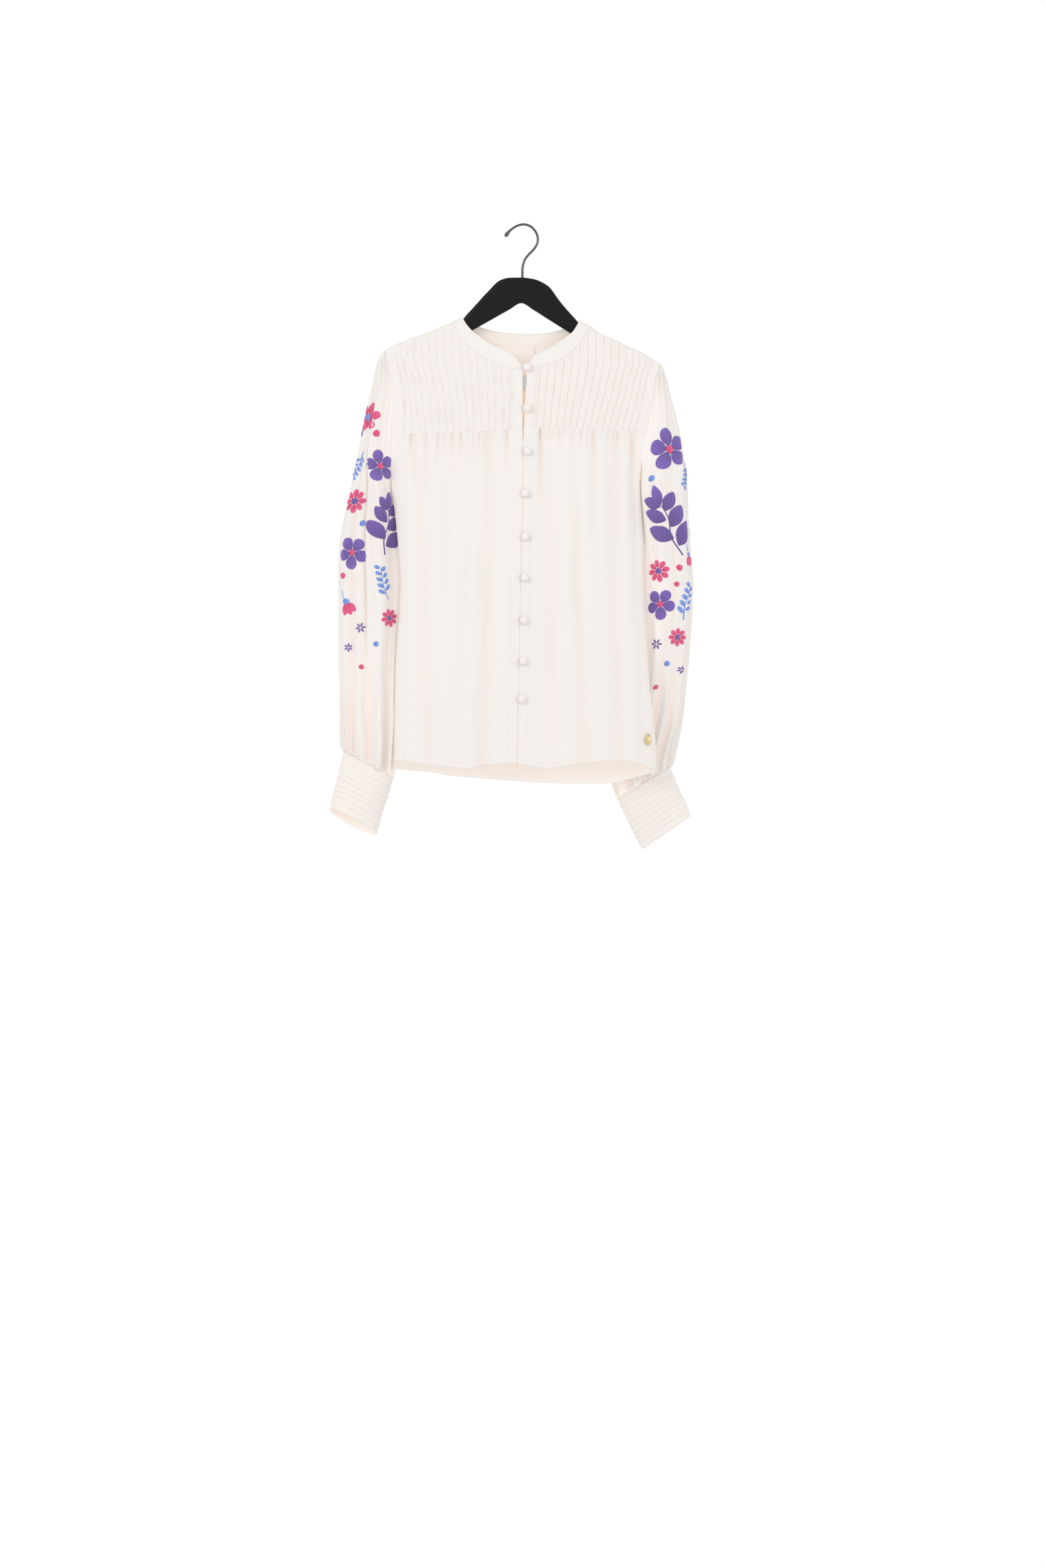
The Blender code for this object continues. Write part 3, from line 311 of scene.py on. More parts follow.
def addMesh(name, points, faces, material, values=None, smooth=True, sharp=None):
    mesh = bpy.data.meshes.new(name)
    mesh.from_pydata(np.asarray(points, float).tolist(), [], faces)
    work = bmesh.new()
    work.from_mesh(mesh)
    bmesh.ops.recalc_face_normals(work, faces=work.faces)
    work.to_mesh(mesh)
    work.free()
    for key, given in (values or {}).items():
        given = np.asarray(given, np.float32)
        if given.ndim == 2:
            layer = mesh.attributes.new(key, "FLOAT_COLOR", "POINT")
            layer.data.foreach_set("color", given.ravel())
        else:
            layer = mesh.attributes.new(key, "FLOAT", "POINT")
            layer.data.foreach_set("value", given)
    mesh.materials.append(material)
    mesh.polygons.foreach_set("use_smooth", [smooth] * len(mesh.polygons))
    if sharp:
        mesh.set_sharp_from_angle(angle=math.radians(sharp))
    made = bpy.data.objects.new(name, mesh)
    bpy.context.scene.collection.objects.link(made)
    return made


def gridFaces(rows, columns, start=0, wrap=False):
    i, j = np.meshgrid(np.arange(rows - 1), np.arange(columns if wrap else columns - 1), indexing="ij")
    a, b = start + i * columns + j, start + i * columns + (j + 1) % columns
    return np.stack([a, b, b + columns, a + columns], -1).reshape(-1, 4).tolist()


def rimFaces(outer, inner):
    # triangles between an edge and an inner edge that has every second one of its points
    faces = []
    for k in range(len(inner) - 1):
        a, b, c = outer[2 * k], outer[2 * k + 1], outer[2 * k + 2]
        faces += [(a, b, inner[k]), (b, c, inner[k + 1]), (b, inner[k + 1], inner[k])]
    return faces


def addShell(name, outer, inner, paintedShade, wrap=False, glowAmount=0.0, deep=1.0, material=blouseCloth):
    # a closed wall of cloth between a fine outer grid and a coarser inner one; the shade array is painted
    # shade in its folds, and the two shares after wrap give the painted glow and warm tint of its outer and
    # inner side, 0 to 1
    rows, columns = outer.shape[:2]
    fewRows, fewColumns = inner.shape[:2]
    start = rows * columns
    over = np.arange(start).reshape(rows, columns)
    under = start + np.arange(fewRows * fewColumns).reshape(fewRows, fewColumns)
    faces = gridFaces(rows, columns, 0, wrap) + gridFaces(fewRows, fewColumns, start, wrap)
    if wrap:
        over, under = np.c_[over, over[:, 0]], np.c_[under, under[:, 0]]
    faces += rimFaces(over[0], under[0]) + rimFaces(over[-1], under[-1])
    if not wrap:
        faces += rimFaces(over[:, 0], under[:, 0]) + rimFaces(over[:, -1], under[:, -1])
    points = np.concatenate([outer.reshape(-1, 3), inner.reshape(-1, 3)])
    shares = np.concatenate([paintedShade.ravel(), paintedShade[::2, ::2].ravel() * 0.5])
    # the painted glow's share, on the outer side and then on the inner side
    turned = np.concatenate([np.broadcast_to(part, grid.shape[:2]).ravel()
                             for part, grid in ((glowAmount, outer), (deep, inner))])
    return addMesh(name, points, faces, material, {"paintedShade": shares, "inside": turned})


def ringFaces(rows, columns):
    # a closed skin over rings of points, with a flat face over each end
    ends = [list(range(a, a + columns)) for a in (0, (rows - 1) * columns)]
    return gridFaces(rows, columns, 0, True) + ends


def addTube(name, path, radii, sides, across, material, values=None):
    # across is a direction that the path never runs in
    radii = np.broadcast_to(radii, len(path))[:, None, None]
    run = unit(np.gradient(path, axis=0))
    first = unit(np.cross(run, np.array(across, float)))
    second = np.cross(run, first)
    turn = (tau * np.arange(sides) / sides)[None, :, None]
    rings = path[:, None] + (first[:, None] * np.cos(turn) + second[:, None] * np.sin(turn)) * radii
    return addMesh(name, rings.reshape(-1, 3), ringFaces(len(path), sides), material, values)


def curved(points, count):
    # points spaced evenly along a smooth curve through the ones given
    points = np.asarray(points, float)
    far = distances(points[:, :3])
    return through(points, far, np.linspace(0, far[-1], count), np.gradient(points, far, axis=0))


def dress(made, nodes, body="blouse"):
    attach(made, body)
    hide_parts(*nodes)


def sided(name, side):
    return name + ("Right" if side == right else "Left")


def nodeOf(name):
    nodes = {"neckBand": "neck_band", "backPanel": "back"}
    return nodes.get(name) or name.replace("Right", "_right").replace("Left", "_left")


def sewn(made, cut):
    # a piece of cloth, standing for the node of its name, with the size that it was cut to
    dress(made, [nodeOf(made.name)])
    graph = bpy.context.evaluated_depsgraph_get()
    shown = sum(face.area for face in made.evaluated_get(graph).data.polygons) / 2
    print(f"  {made.name}: {len(made.data.polygons)} faces, cloth {shown:.4f} m2, cut {cut[2]:.4f} m2")


bodice = {
    "roundness": 2.8,
    "underarm": -0.350,
    "seamGap": 0.00016,
    # the closing's stitched strip: its width, over what width its edge falls, how proud it stands,
    # and how far beyond it the seam's groove runs
    "strip": (0.0132, 0.0008, 0.00045, 0.0006),
    "bunch": (0.55, 0.86),  # how much closer columns stand at the side, from what share of the width
    "tuckUp": (0.0016, 0.0003),  # how far a piece runs on under its neighbour at a seam, and how deep
    # the closing's edge that lies under: how far, how deep, over what width
    "underlap": (0.0010, 0.0014, 0.0060),
    "shoulder": mm({  # width, z
        right: [(0, -86), (30, -98), (60, -112), (84, -124.2), (95.4, -130), (113, -137), (131, -145),
                (149, -151), (167, -158), (185, -166.5), (189, -169.5)],
        left: [(0, -86), (30, -102), (60, -119), (76, -129.2), (89.1, -135.5), (103, -145), (121, -153),
               (139, -162), (157, -170), (175, -181), (186, -188)]}),
    "side": mm({  # z, width, share of the width at which the section closes
        right: [(-169.5, 188.5, 0.8), (-190, 183, 0.8), (-208, 178, 0.81), (-225, 176, 0.82),
                (-250, 177, 0.84), (-284, 179, 0.88), (-315, 179.5, 0.935), (-350, 179, 1),
                (-390, 174, 1), (-430, 170, 1), (-480, 166.5, 1), (-560, 171, 1), (-620, 174, 1),
                (-740, 175.5, 1)],
        left: [(-188, 185.5, 0.8), (-198, 181, 0.8), (-212, 177, 0.81), (-235, 174.5, 0.83),
               (-262, 170, 0.86), (-280, 166, 0.88), (-315, 159, 0.935), (-350, 157, 1), (-420, 161, 1),
               (-500, 163, 1), (-560, 166, 1), (-620, 170, 1), (-700, 178, 1), (-745, 179, 1)]}, 2),
    "depth": mm([  # drop below the shoulder, half depth in front, behind
        (0, 0.5, 0.5), (1.5, 4.6, 4.6), (4, 7.4, 7.4), (8, 8.6, 8.6), (15, 9.7, 9.7), (30, 12, 11.5),
        (60, 18, 16.5), (120, 25.5, 23.5), (200, 29, 28), (400, 31, 30), (660, 31, 30)]),
    "closing": mm({  # z, x of the edge at centre front
        right: [(-190, -1.2), (-205, -1.8), (-245, -1.6), (-270, -2), (-300, -1.3), (-320, -1.3),
                (-460, -4), (-550, -5.8), (-600, -6.7), (-690, -8.5), (-735, -9.4)],
        left: [(-190, 3), (-205, 3.8), (-225, 2.5), (-245, 1.3), (-260, 0.9), (-280, 0.1), (-300, -0.5),
               (-320, -0.5), (-460, -3.2), (-550, -5), (-600, -5.9), (-690, -7.7), (-735, -8.6)]}),
    "yokeSeam": mm({  # width, z
        right: [(0, -277.5), (179, -284)],
        left: [(0, -274), (166, -280)]}),
    "frontHem": mm({  # width, z
        right: [(9, -727), (23, -726.2), (50, -729), (77, -733), (95, -732), (131, -728), (158, -723.8),
                (175.5, -723)],
        left: [(-9, -727.2), (12.6, -731), (31, -733.5), (58, -730), (85, -726.2), (121, -722.2),
               (157, -727), (170, -732), (179, -737)]}),
    "backHem": mm([  # x, z
        (-175.5, -733.5), (-158, -735.3), (-131, -737.5), (-95, -743), (-59, -746.2), (-23, -749),
        (12.6, -751.5), (58, -753.2), (103, -753.2), (121, -752.2), (139, -748.3), (157, -743.7),
        (179, -737.5)]),
    "neckFront": mm({  # width, z
        right: [(0, -195.3), (16.2, -193.5), (27.9, -189.9), (45.9, -181.8), (61.2, -173.7),
                (72.9, -163.8), (81.9, -152.1), (90, -139.5), (95.4, -130.3)],
        left: [(1.4, -193.5), (7.2, -192.6), (16.2, -190.8), (26.1, -189), (39.6, -184.9), (53.1, -178),
               (64.8, -169.2), (75.6, -156.6), (82.8, -145.8), (89.1, -135.8)]}),
    "neckBack": mm([  # x, z
        (-95.4, -130.3), (-88.5, -139), (-75, -149), (-55, -157), (-30, -161), (0, -162), (30, -161.5),
        (52, -159), (70, -153), (81, -145), (89.1, -135.8)]),
    "neckWidth": {right: 0.0954, left: 0.0891},
    "folds": mm({  # width at the yoke, at the hem, half width, height at the yoke, halfway, at the hem
        right: [(22, 18, 6, -1.2, 0, 0), (36, 34, 6, -1.8, -0.6, 0), (50, 56, 8, -2.4, -3.4, -3.6),
                (60, 74, 9, 1.6, 2.2, 1.6), (70, 88, 6, -2.6, -1.4, -0.8), (80, 104, 10, 1.4, 1.6, 0),
                (92, 102, 6, -2.4, -0.4, 0), (108, 110, 7, -2.6, -1.2, 0), (120, 116, 10, 1.8, 2.6, 2),
                (148, 131, 8, -3, -5, -4.6), (158, 146, 8, 1.2, 2.8, 2.2),
                (164, 162, 5, -1.4, -1.2, -0.6)],
        left: [(20, 30, 6, -1.4, -0.4, 0.6), (31, 40, 7, -2, -2, -0.6), (44, 52, 6, -2.4, -0.8, 0),
               (54, 64, 9, 1.6, 2, 1.2), (66, 82, 8, -2.4, -3.2, -2.8), (78, 96, 9, 1.4, 2.2, 2),
               (92, 104, 6, -2.6, -0.8, 0), (104, 120, 9, 1.4, 1.6, 2.2), (116, 130, 7, -2.2, -3, -3),
               (128, 142, 6, -2.2, -0.6, 0), (138, 152, 9, 1.6, 2.2, 1.2),
               (147, 162, 6, -2.4, -2.2, -2)]}),
    "backFolds": mm([  # x at the neck, x at the hem, half width, height at the neck, halfway, at the hem
        (-120, -128, 16, 0, 1.8, 2.2), (-80, -84, 18, 0, -2.2, -2.6), (-30, -34, 18, 0, 1.8, 2.4),
        (20, 22, 18, 0, -2, -2.4), (70, 78, 18, 0, 2, 2.4), (112, 120, 16, 0, -1.8, -2.4)]),
    "gathers": [  # how many, depth, half width, how far down they reach
        (8, 0.0034, 0.0019, 0.075), (19, 0.0024, 0.0015, 0.034)],
    "gathered": {right: (0.017, 0.165), left: (0.017, 0.153)},  # between which widths
    "yokeLow": -0.282,  # roughly the yoke seam at the armhole
    "longCreases": 9,
    "lowCreases": (0.30, 0.12, 0.00035),  # from how far below the yoke, over what length, height
    # the swell below the yoke's seam: height, how far down, half width
    "seamRoll": (0.0007, 0.0030, 0.0028),
    "gape": (-0.292, 0.014),  # height below which the closing no longer gapes, and over what height
    # the painted glow and warm tint of the inner side: its least share at the hem, from how far above the
    # hem that grows, over what height
    "innerLight": (0.38, 0.025, 0.06),
    # the painted shade beside the side seam: strength, half width, below what height, over what length it
    # grows
    "sideShade": (0.6, 0.005, -0.25, 0.05),
    "backMiddle": -0.003,
    "backTop": -0.1620,  # roughly its neck, where the search for its top edge starts
    "backLow": -0.745,  # roughly its hem
    "backFoldsFrom": (-0.20, 0.54),  # where the folds' tables start, and over what height they run
    # the painted glow and warm tint of the back's inner side: above the first height a share of it, below
    # the second all of it, each over a length, and that share
    "backLight": (-0.208, -0.188, 0.020, 0.25),
    "frontRows": 128,
    "crease": 0.00032,
    "topDrops": (0, 0.0004, 0.0009, 0.0016, 0.0026, 0.0040, 0.0060, 0.0090),  # of the rows by the shoulder
    "frontColumns": 190,
    "backColumns": 221,
    "hem": (0.0062, 0.00055, 0.0003, 0.00022),  # depth of the turned hem, its thickness, groove and puckers
    # width, length and area of each cut
    "cut": {"front": (0.215, 0.460, 0.096), "back": (0.40, 0.60, 0.226)},
}


def bodyDepth(x, z, column):
    drop = np.maximum(0, bySide(bodice["shoulder"], x, np.abs(x)) - z)
    closing = bySide(bodice["side"], x, z, 1) / bySide(bodice["side"], x, z, 2)
    share = np.minimum(1, np.abs(x) / closing)
    power = bodice["roundness"]
    return along(bodice["depth"], drop, column) * np.maximum(0, 1 - share ** power) ** (1 / power)


def threeHeights(fold, first, t):
    return along([(0, fold[first]), (0.5, fold[first + 1]), (1, fold[first + 2])], t)


def yokeEnd(side):
    # height of the yoke seam at the armhole
    return float(along(bodice["yokeSeam"][side], along(bodice["side"][side], bodice["yokeLow"])))


def hemRoll(above, puckers):
    # the turned hem's relief, from the distance above the edge
    depth, thick, groove, pucker = bodice["hem"]
    roll = ease((depth - above) / 0.0006) * thick - groove * bump(above - depth, 0.0009)
    return roll + puckers * pucker * ease((0.011 - above) / 0.006)


def frontLift(side, x, z):
    # (large folds, all folds) of a front below its yoke
    width = x * side
    top, hem = along(bodice["yokeSeam"][side], width), along(bodice["frontHem"][side], width)
    t = np.clip((top - z) / (top - hem), 0, 1)
    below = np.maximum(0, top - z)
    large = 0
    for fold in bodice["folds"][side]:
        middle = mix(fold[0], fold[1], t)
        large = large + threeHeights(fold, 3, t) * bump(width - middle, fold[2] * (1.3 + 0.6 * t))
    sideWidth = along(bodice["side"][side], z)
    large = large * ease((sideWidth - width) / 0.02) * mix(0.2, 1, ease(below / 0.016))
    draw = np.random.default_rng(31 + side)
    fine = 0
    for count, depth, wide, reach in bodice["gathers"]:
        for k in range(count):
            start = mix(*bodice["gathered"][side], (k + draw.uniform(0.2, 0.8)) / count)
            drift, reached = draw.uniform(-0.08, 0.08), reach * draw.uniform(0.5, 1.6)
            wider = wide * draw.uniform(0.8, 1.3) * (1 + below / 0.040)
            fine = fine - (depth * draw.uniform(0.4, 1.0) * np.exp(-(below / reached) ** 1.5)
                           * bump(width - start - drift * below, wider))
    height, down, wide = bodice["seamRoll"]
    fine = fine * mix(0.45, 1, ease(below / 0.003)) + height * bump(below - down, wide)
    for _ in range(bodice["longCreases"]):
        start, slant = draw.uniform(0.02, 0.16), draw.uniform(-0.10, 0.10)
        middle, reach = draw.uniform(0.10, 0.40), draw.uniform(0.05, 0.16)
        height, wide = draw.uniform(-0.0007, 0.0006), draw.uniform(0.0025, 0.006)
        fine = fine + height * bump(width - start - slant * below, wide) * bump(below - middle, reach)
    fine = fine + bodice["crease"] * ripples(width / 0.034, z / 0.34, 5 + side)
    fine = fine + bodice["crease"] * 0.2 * ripples(width / 0.012, z / 0.070, 9 + side)
    start, over, height = bodice["lowCreases"]
    low = ease((below - start) / over)
    fine = fine - low * height * (1 - np.abs(ripples(width / 0.05, z / 0.035, 13 + side))) ** 6
    strip = ease((width - 0.0125) / 0.004)
    fine = fine * mix(0.25, 1, strip) * ease((sideWidth - width) / 0.008)
    large = large * mix(0.5, 1, strip)
    hemmed = hemRoll(z - hem, ripples(width / 0.0065, z / 0.03, 17 + side))
    return large, large + fine + hemmed


def hemGlow(above):
    # the share of painted glow and warm tint on the inner side, from the distance above the hem
    least, start, over = bodice["innerLight"]
    return least + (1 - least) * ease((above - start) / over)


def underlap(z):
    # 0 where the closing gapes open, 1 below, where the left edge lies under the right one
    start, over = bodice["gape"]
    return ease((start - z) / over)


def stripLift(width, groove, over):
    edge, fall, proud, beyond = bodice["strip"]
    return proud * ease((edge - width) / fall) - groove * bump(width - edge - beyond, over)


def bunched(closing):
    extra, start = bodice["bunch"]
    return 1 + extra * ease((closing - start) / (1 - start))


def closingX(side, z):
    edge = along(bodice["closing"][side], z)
    if side == right:
        return edge
    return mix(edge, along(bodice["closing"][right], z) - bodice["underlap"][0], underlap(z))


def frontX(side, share, z):
    edge, limit = closingX(side, z), side * along(bodice["side"][side], z)
    return mix(edge, limit, 1 - (1 - share) ** bunched(along(bodice["side"][side], z, 2)))


def addFront(side):
    seam = yokeEnd(side)
    hem = float(along(bodice["frontHem"][side], 0.12))
    drops = np.concatenate([np.linspace(0, 0.012, 9),
                            np.linspace(0.0145, seam - hem - 0.012, bodice["frontRows"]),
                            np.linspace(seam - hem - 0.0105, seam - hem, 10)])
    levels = seam - oddly(drops)[:, None]
    shares = np.append([0, 0.005, 0.012, 0.020], np.linspace(0.028, 1, bodice["frontColumns"]))
    shares = oddly(shares)[None, :]
    x = frontX(side, shares, levels)
    rise = along(bodice["yokeSeam"][side], x * side) - seam
    low = np.clip((bodice["underarm"] - levels) / (bodice["underarm"] - hem), 0, 1)
    z = np.where(levels > bodice["underarm"], levels + rise,
                 mix(bodice["underarm"] + rise, along(bodice["frontHem"][side], x * side), low))
    large, full = frontLift(side, x, z)
    y = -bodyDepth(x, z, 1)
    plain = np.stack([x, y, z], -1)
    facing = facingOf(plain, (0, -1, 0))
    facing[:, 0, 0] = 0
    facing[:, :, 2] *= 0.3
    facing = unit(facing)
    below = levels[:, 0] <= bodice["underarm"] + 1e-6
    width = np.abs(x - x[:, :1])
    fold = stripLift(width, 0.00025, 0.0010)
    # painted shade in the valleys of the folds and gathers
    paintedShade = np.clip(valleys(full, (2, 4), 0.0011) * 0.7 + valleys(full, (10, 16), 0.0036) * 0.8, 0, 1.5)
    if side == left:
        lap, (_, deep, over) = underlap(z), bodice["underlap"]
        fold = fold * (1 - lap * ease((0.010 - width) / 0.004))
        fold = fold - lap * deep * ease((over - width) / (over * 0.7))
        # painted shade along the closing, where the left edge lies under the right
        paintedShade = np.maximum(paintedShade, lap * bump(width - bodice["underlap"][0], 0.0012))
    else:
        fold = fold - 0.0008 * bump(width, 0.0008)
    outer = plain + facing * (full + fold)[..., None]
    outer[:, -1] = plain[:, -1]
    outer[below, -1, 1] = bodice["seamGap"] / 2
    up, deep = bodice["tuckUp"]
    outer[0] = plain[0] - facing[0] * deep + (0, 0, up)
    behind = large + np.minimum(full - large, 0) + np.minimum(fold, 0) * (side == left)
    soft = plain + facing * behind[..., None]
    soft[:, -1] = outer[:, -1]
    soft[0] = outer[0]
    flat = [(below, -1, 0), (~below, -1, 1), (slice(None), 0, 0), (0, slice(None), 2)]
    inner = insideOf(soft, facing, flat, cloth["wall"])
    inner[below[::2], -1] = outer[::2][below[::2], -1] + np.array([-side * cloth["wall"], 0, 0])
    # painted shade beside the side seam and along the closing, a fifth of it also painted glow, with a thin
    # painted glow just below the yoke seam; the inner side's painted glow fades toward the hem
    strength, half, start, over = bodice["sideShade"]
    shadeBeside = strength * bump(along(bodice["side"][side], z) - np.abs(x), half) * ease((start - z) / over)
    shadeBeside = np.maximum(shadeBeside, bump(width, 0.0016) * underlap(z))
    glowAmount = np.maximum(shadeBeside * 0.2, 0.06 * bump(z - z[0], 0.0022) * ease((width - 0.002) / 0.004))
    made = addShell(sided("front", side), outer, inner, np.maximum(paintedShade, shadeBeside), glowAmount=glowAmount,
                    deep=hemGlow((z - z[-1])[::2, ::2]))
    sewn(made, bodice["cut"]["front"])
    return outer, facing


fronts = {side: addFront(side) for side in (right, left)}
print("blouse: fronts")

yoke = {
    "first": 0.090,
    "last": 0.888,
    "tucks": 16,
    "height": 0.00115,
    "fan": 0.35,
    # one tuck across, as (place in pitches, height): the far side of the fold is undercut
    "profile": [(-0.20, 0), (-0.10, 0.20), (-0.02, 0.60), (0.06, 0.92), (0.12, 1.0), (0.152, 0.82),
                (0.140, 0.30), (0.155, -0.16), (0.22, -0.12), (0.32, -0.03), (0.50, 0)],
    # the plain strips before and after the tucks, as (place, height), and a spare place to make it odd
    "before": [(0, 0), (0.005, 0), (0.012, 0), (0.025, 0), (0.045, 0), (0.062, 0)],
    "after": [(0.935, 0), (0.955, 0), (0.975, 0), (0.99, 0), (1, 0)],
    "spare": 0.0025,
    "uneven": {right: 0.45, left: 0.2},  # how much a tuck's height changes down it
    "crumple": ((0.011, 0.040), (0.006, 0.016)),  # sizes across and down, coarse and fine
    # how far the tucks wander, in pitches, and over what height
    "waver": {right: (0.110, 0.040), left: (0.030, 0.140)},
    "crinkle": {right: 0.00090, left: 0.00008},
    "shade": {right: 0.0018, left: 0.0006},  # how deep a valley takes the full painted shade tint
    "cut": (0.245, 0.150, 0.0285),
}


def topOfFront(side, width):
    return np.where(width >= bodice["neckWidth"][side], along(bodice["shoulder"][side], width),
                    along(bodice["neckFront"][side], width))


def settled(top, want):
    # the height at which a column that slants meets the edge it runs to
    for _ in range(40):
        top = mix(top, want(top), 0.5)
    return top


def tuckPlaces(piece, pitch):
    # places across a tucked piece and the height of each, an odd number of them
    rows = list(piece["before"])
    for k in range(piece["tucks"]):
        rows += [(piece["first"] + (k + place) * pitch, height) for place, height in piece["profile"]]
    rows += piece["after"]
    if len(rows) % 2 == 0:
        rows.insert(1, (piece["spare"], 0))
    return np.array(rows).T


def addYoke(side):
    pitch = (yoke["last"] - yoke["first"]) / (yoke["tucks"] - 1)
    places, heights = tuckPlaces(yoke, pitch)[:, None, :]
    end = yokeEnd(side)

    def columnX(share, z):
        up = ease((z - end) / 0.08)
        spread = share + yoke["fan"] * up * share * share * (1 - share)
        return mix(closingX(side, z), side * along(bodice["side"][side], z), spread)

    tip = bodice["shoulder"][side][-1][1]
    top = mix(float(along(bodice["neckFront"][side], 0)), tip, np.clip(places, 0, 1))
    top = settled(top, lambda z: topOfFront(side, columnX(places, z) * side))
    low = along(bodice["yokeSeam"][side], columnX(places, end) * side)
    drops = bodice["topDrops"]
    t = np.concatenate([0 * np.array(drops), np.linspace(0, 1, 82)[1:-4], [0.965, 0.975, 0.985, 0.993, 1]])
    t = np.insert(t, 12, (t[11] + t[12]) / 2)
    drop = np.append(drops, np.full(len(t) - len(drops), drops[-1]))
    z = mix(top - drop[:, None], low, t[:, None])
    away = np.minimum(z - low, top - z)
    waver, stretch = yoke["waver"][side]
    wander = ripples(places / pitch / 3.5, z / stretch, 41 + side) * waver * pitch
    wander = wander * ease(away / 0.03) * ease((places - 0.04) / 0.05) * ease((0.97 - places) / 0.05)
    share = places + wander
    x = columnX(share, z)
    y = -bodyDepth(x, z, 1)
    shoulder = x[0] * side >= bodice["neckWidth"][side]
    y[0, shoulder] = -bodice["seamGap"] / 2
    z[-1] += bodice["seamGap"] / 2
    plain = np.stack([x, y, z], -1)
    straight = columnX(np.linspace(0, 1, places.shape[1])[None, :] + 0 * share, z)
    even = np.stack([straight, -bodyDepth(straight, z, 1), z], -1)
    facing = facingOf(even, (0, -1, 0))
    facing[0, shoulder] = unit(facing[0, shoulder] * (1, 0.2, 1))
    facing[:, 0, 0] = 0
    facing[:, -1, 0] = 0
    facing = unit(facing)
    rise = np.ones(len(t))
    rise[:5] = (0.45, 0.6, 0.75, 0.9, 1)
    rise = rise * mix(0.5, 1, ease((1 - t) / 0.03))
    uneven = 1 + yoke["uneven"][side] * ripples(places / pitch / 2, z / 0.03, 47 + side)
    lift = yoke["height"] * heights * rise[:, None] * uneven
    width = (x - x[:, :1]) * side
    (wide, tall), (narrow, short) = yoke["crumple"]
    crumple = ripples(width / wide, z / tall, 53 + side)
    crumple = crumple + 0.7 * ripples(width / narrow, z / short, 59 + side)
    ridged = (1 - np.abs(np.clip(crumple, -1, 1))) ** 2 - 0.4
    soft = ease(away / 0.012) * ease((width - 0.010) / 0.008) * ease((0.985 - places) / 0.03)
    lift = lift + ridged * yoke["crinkle"][side] * soft
    lift = lift + bodice["crease"] * 0.8 * ripples(width / 0.05, z / 0.06, 61 + side) * ease(away / 0.02)
    lift = lift + stripLift(width, 0.00035, 0.0008)
    lift = lift + 0.0004 * bump(z - low - 0.0020, 0.0016) - 0.0002 * bump(z - low - 0.0046, 0.0008)
    lift[0, shoulder] *= 0.4
    outer = plain + facing * lift[..., None]
    outer[:, -1, 0] = x[:, -1]
    flat = [(0, shoulder, 1), (slice(None), 0, 0), (slice(None), -1, 0), (-1, slice(None), 2)]
    inner = insideOf(plain - facing * 0.0001, facing, flat, cloth["wall"])
    # the inner side's painted glow and warm tint, more of it above the seam; painted shade in the tucks'
    # valleys, and a thin painted glow along the seam
    deep = mix(0.36, 0.6, ease((z - low) / 0.02))[::2, ::2]
    made = addShell(sided("yoke", side), outer, inner, valleys(lift, (1, 3), yoke["shade"][side]),
                    glowAmount=0.04 * bump(z - low, 0.0010), deep=deep)
    sewn(made, yoke["cut"])
    return outer, facing


yokes = {side: addYoke(side) for side in (right, left)}
print("blouse: yokes")


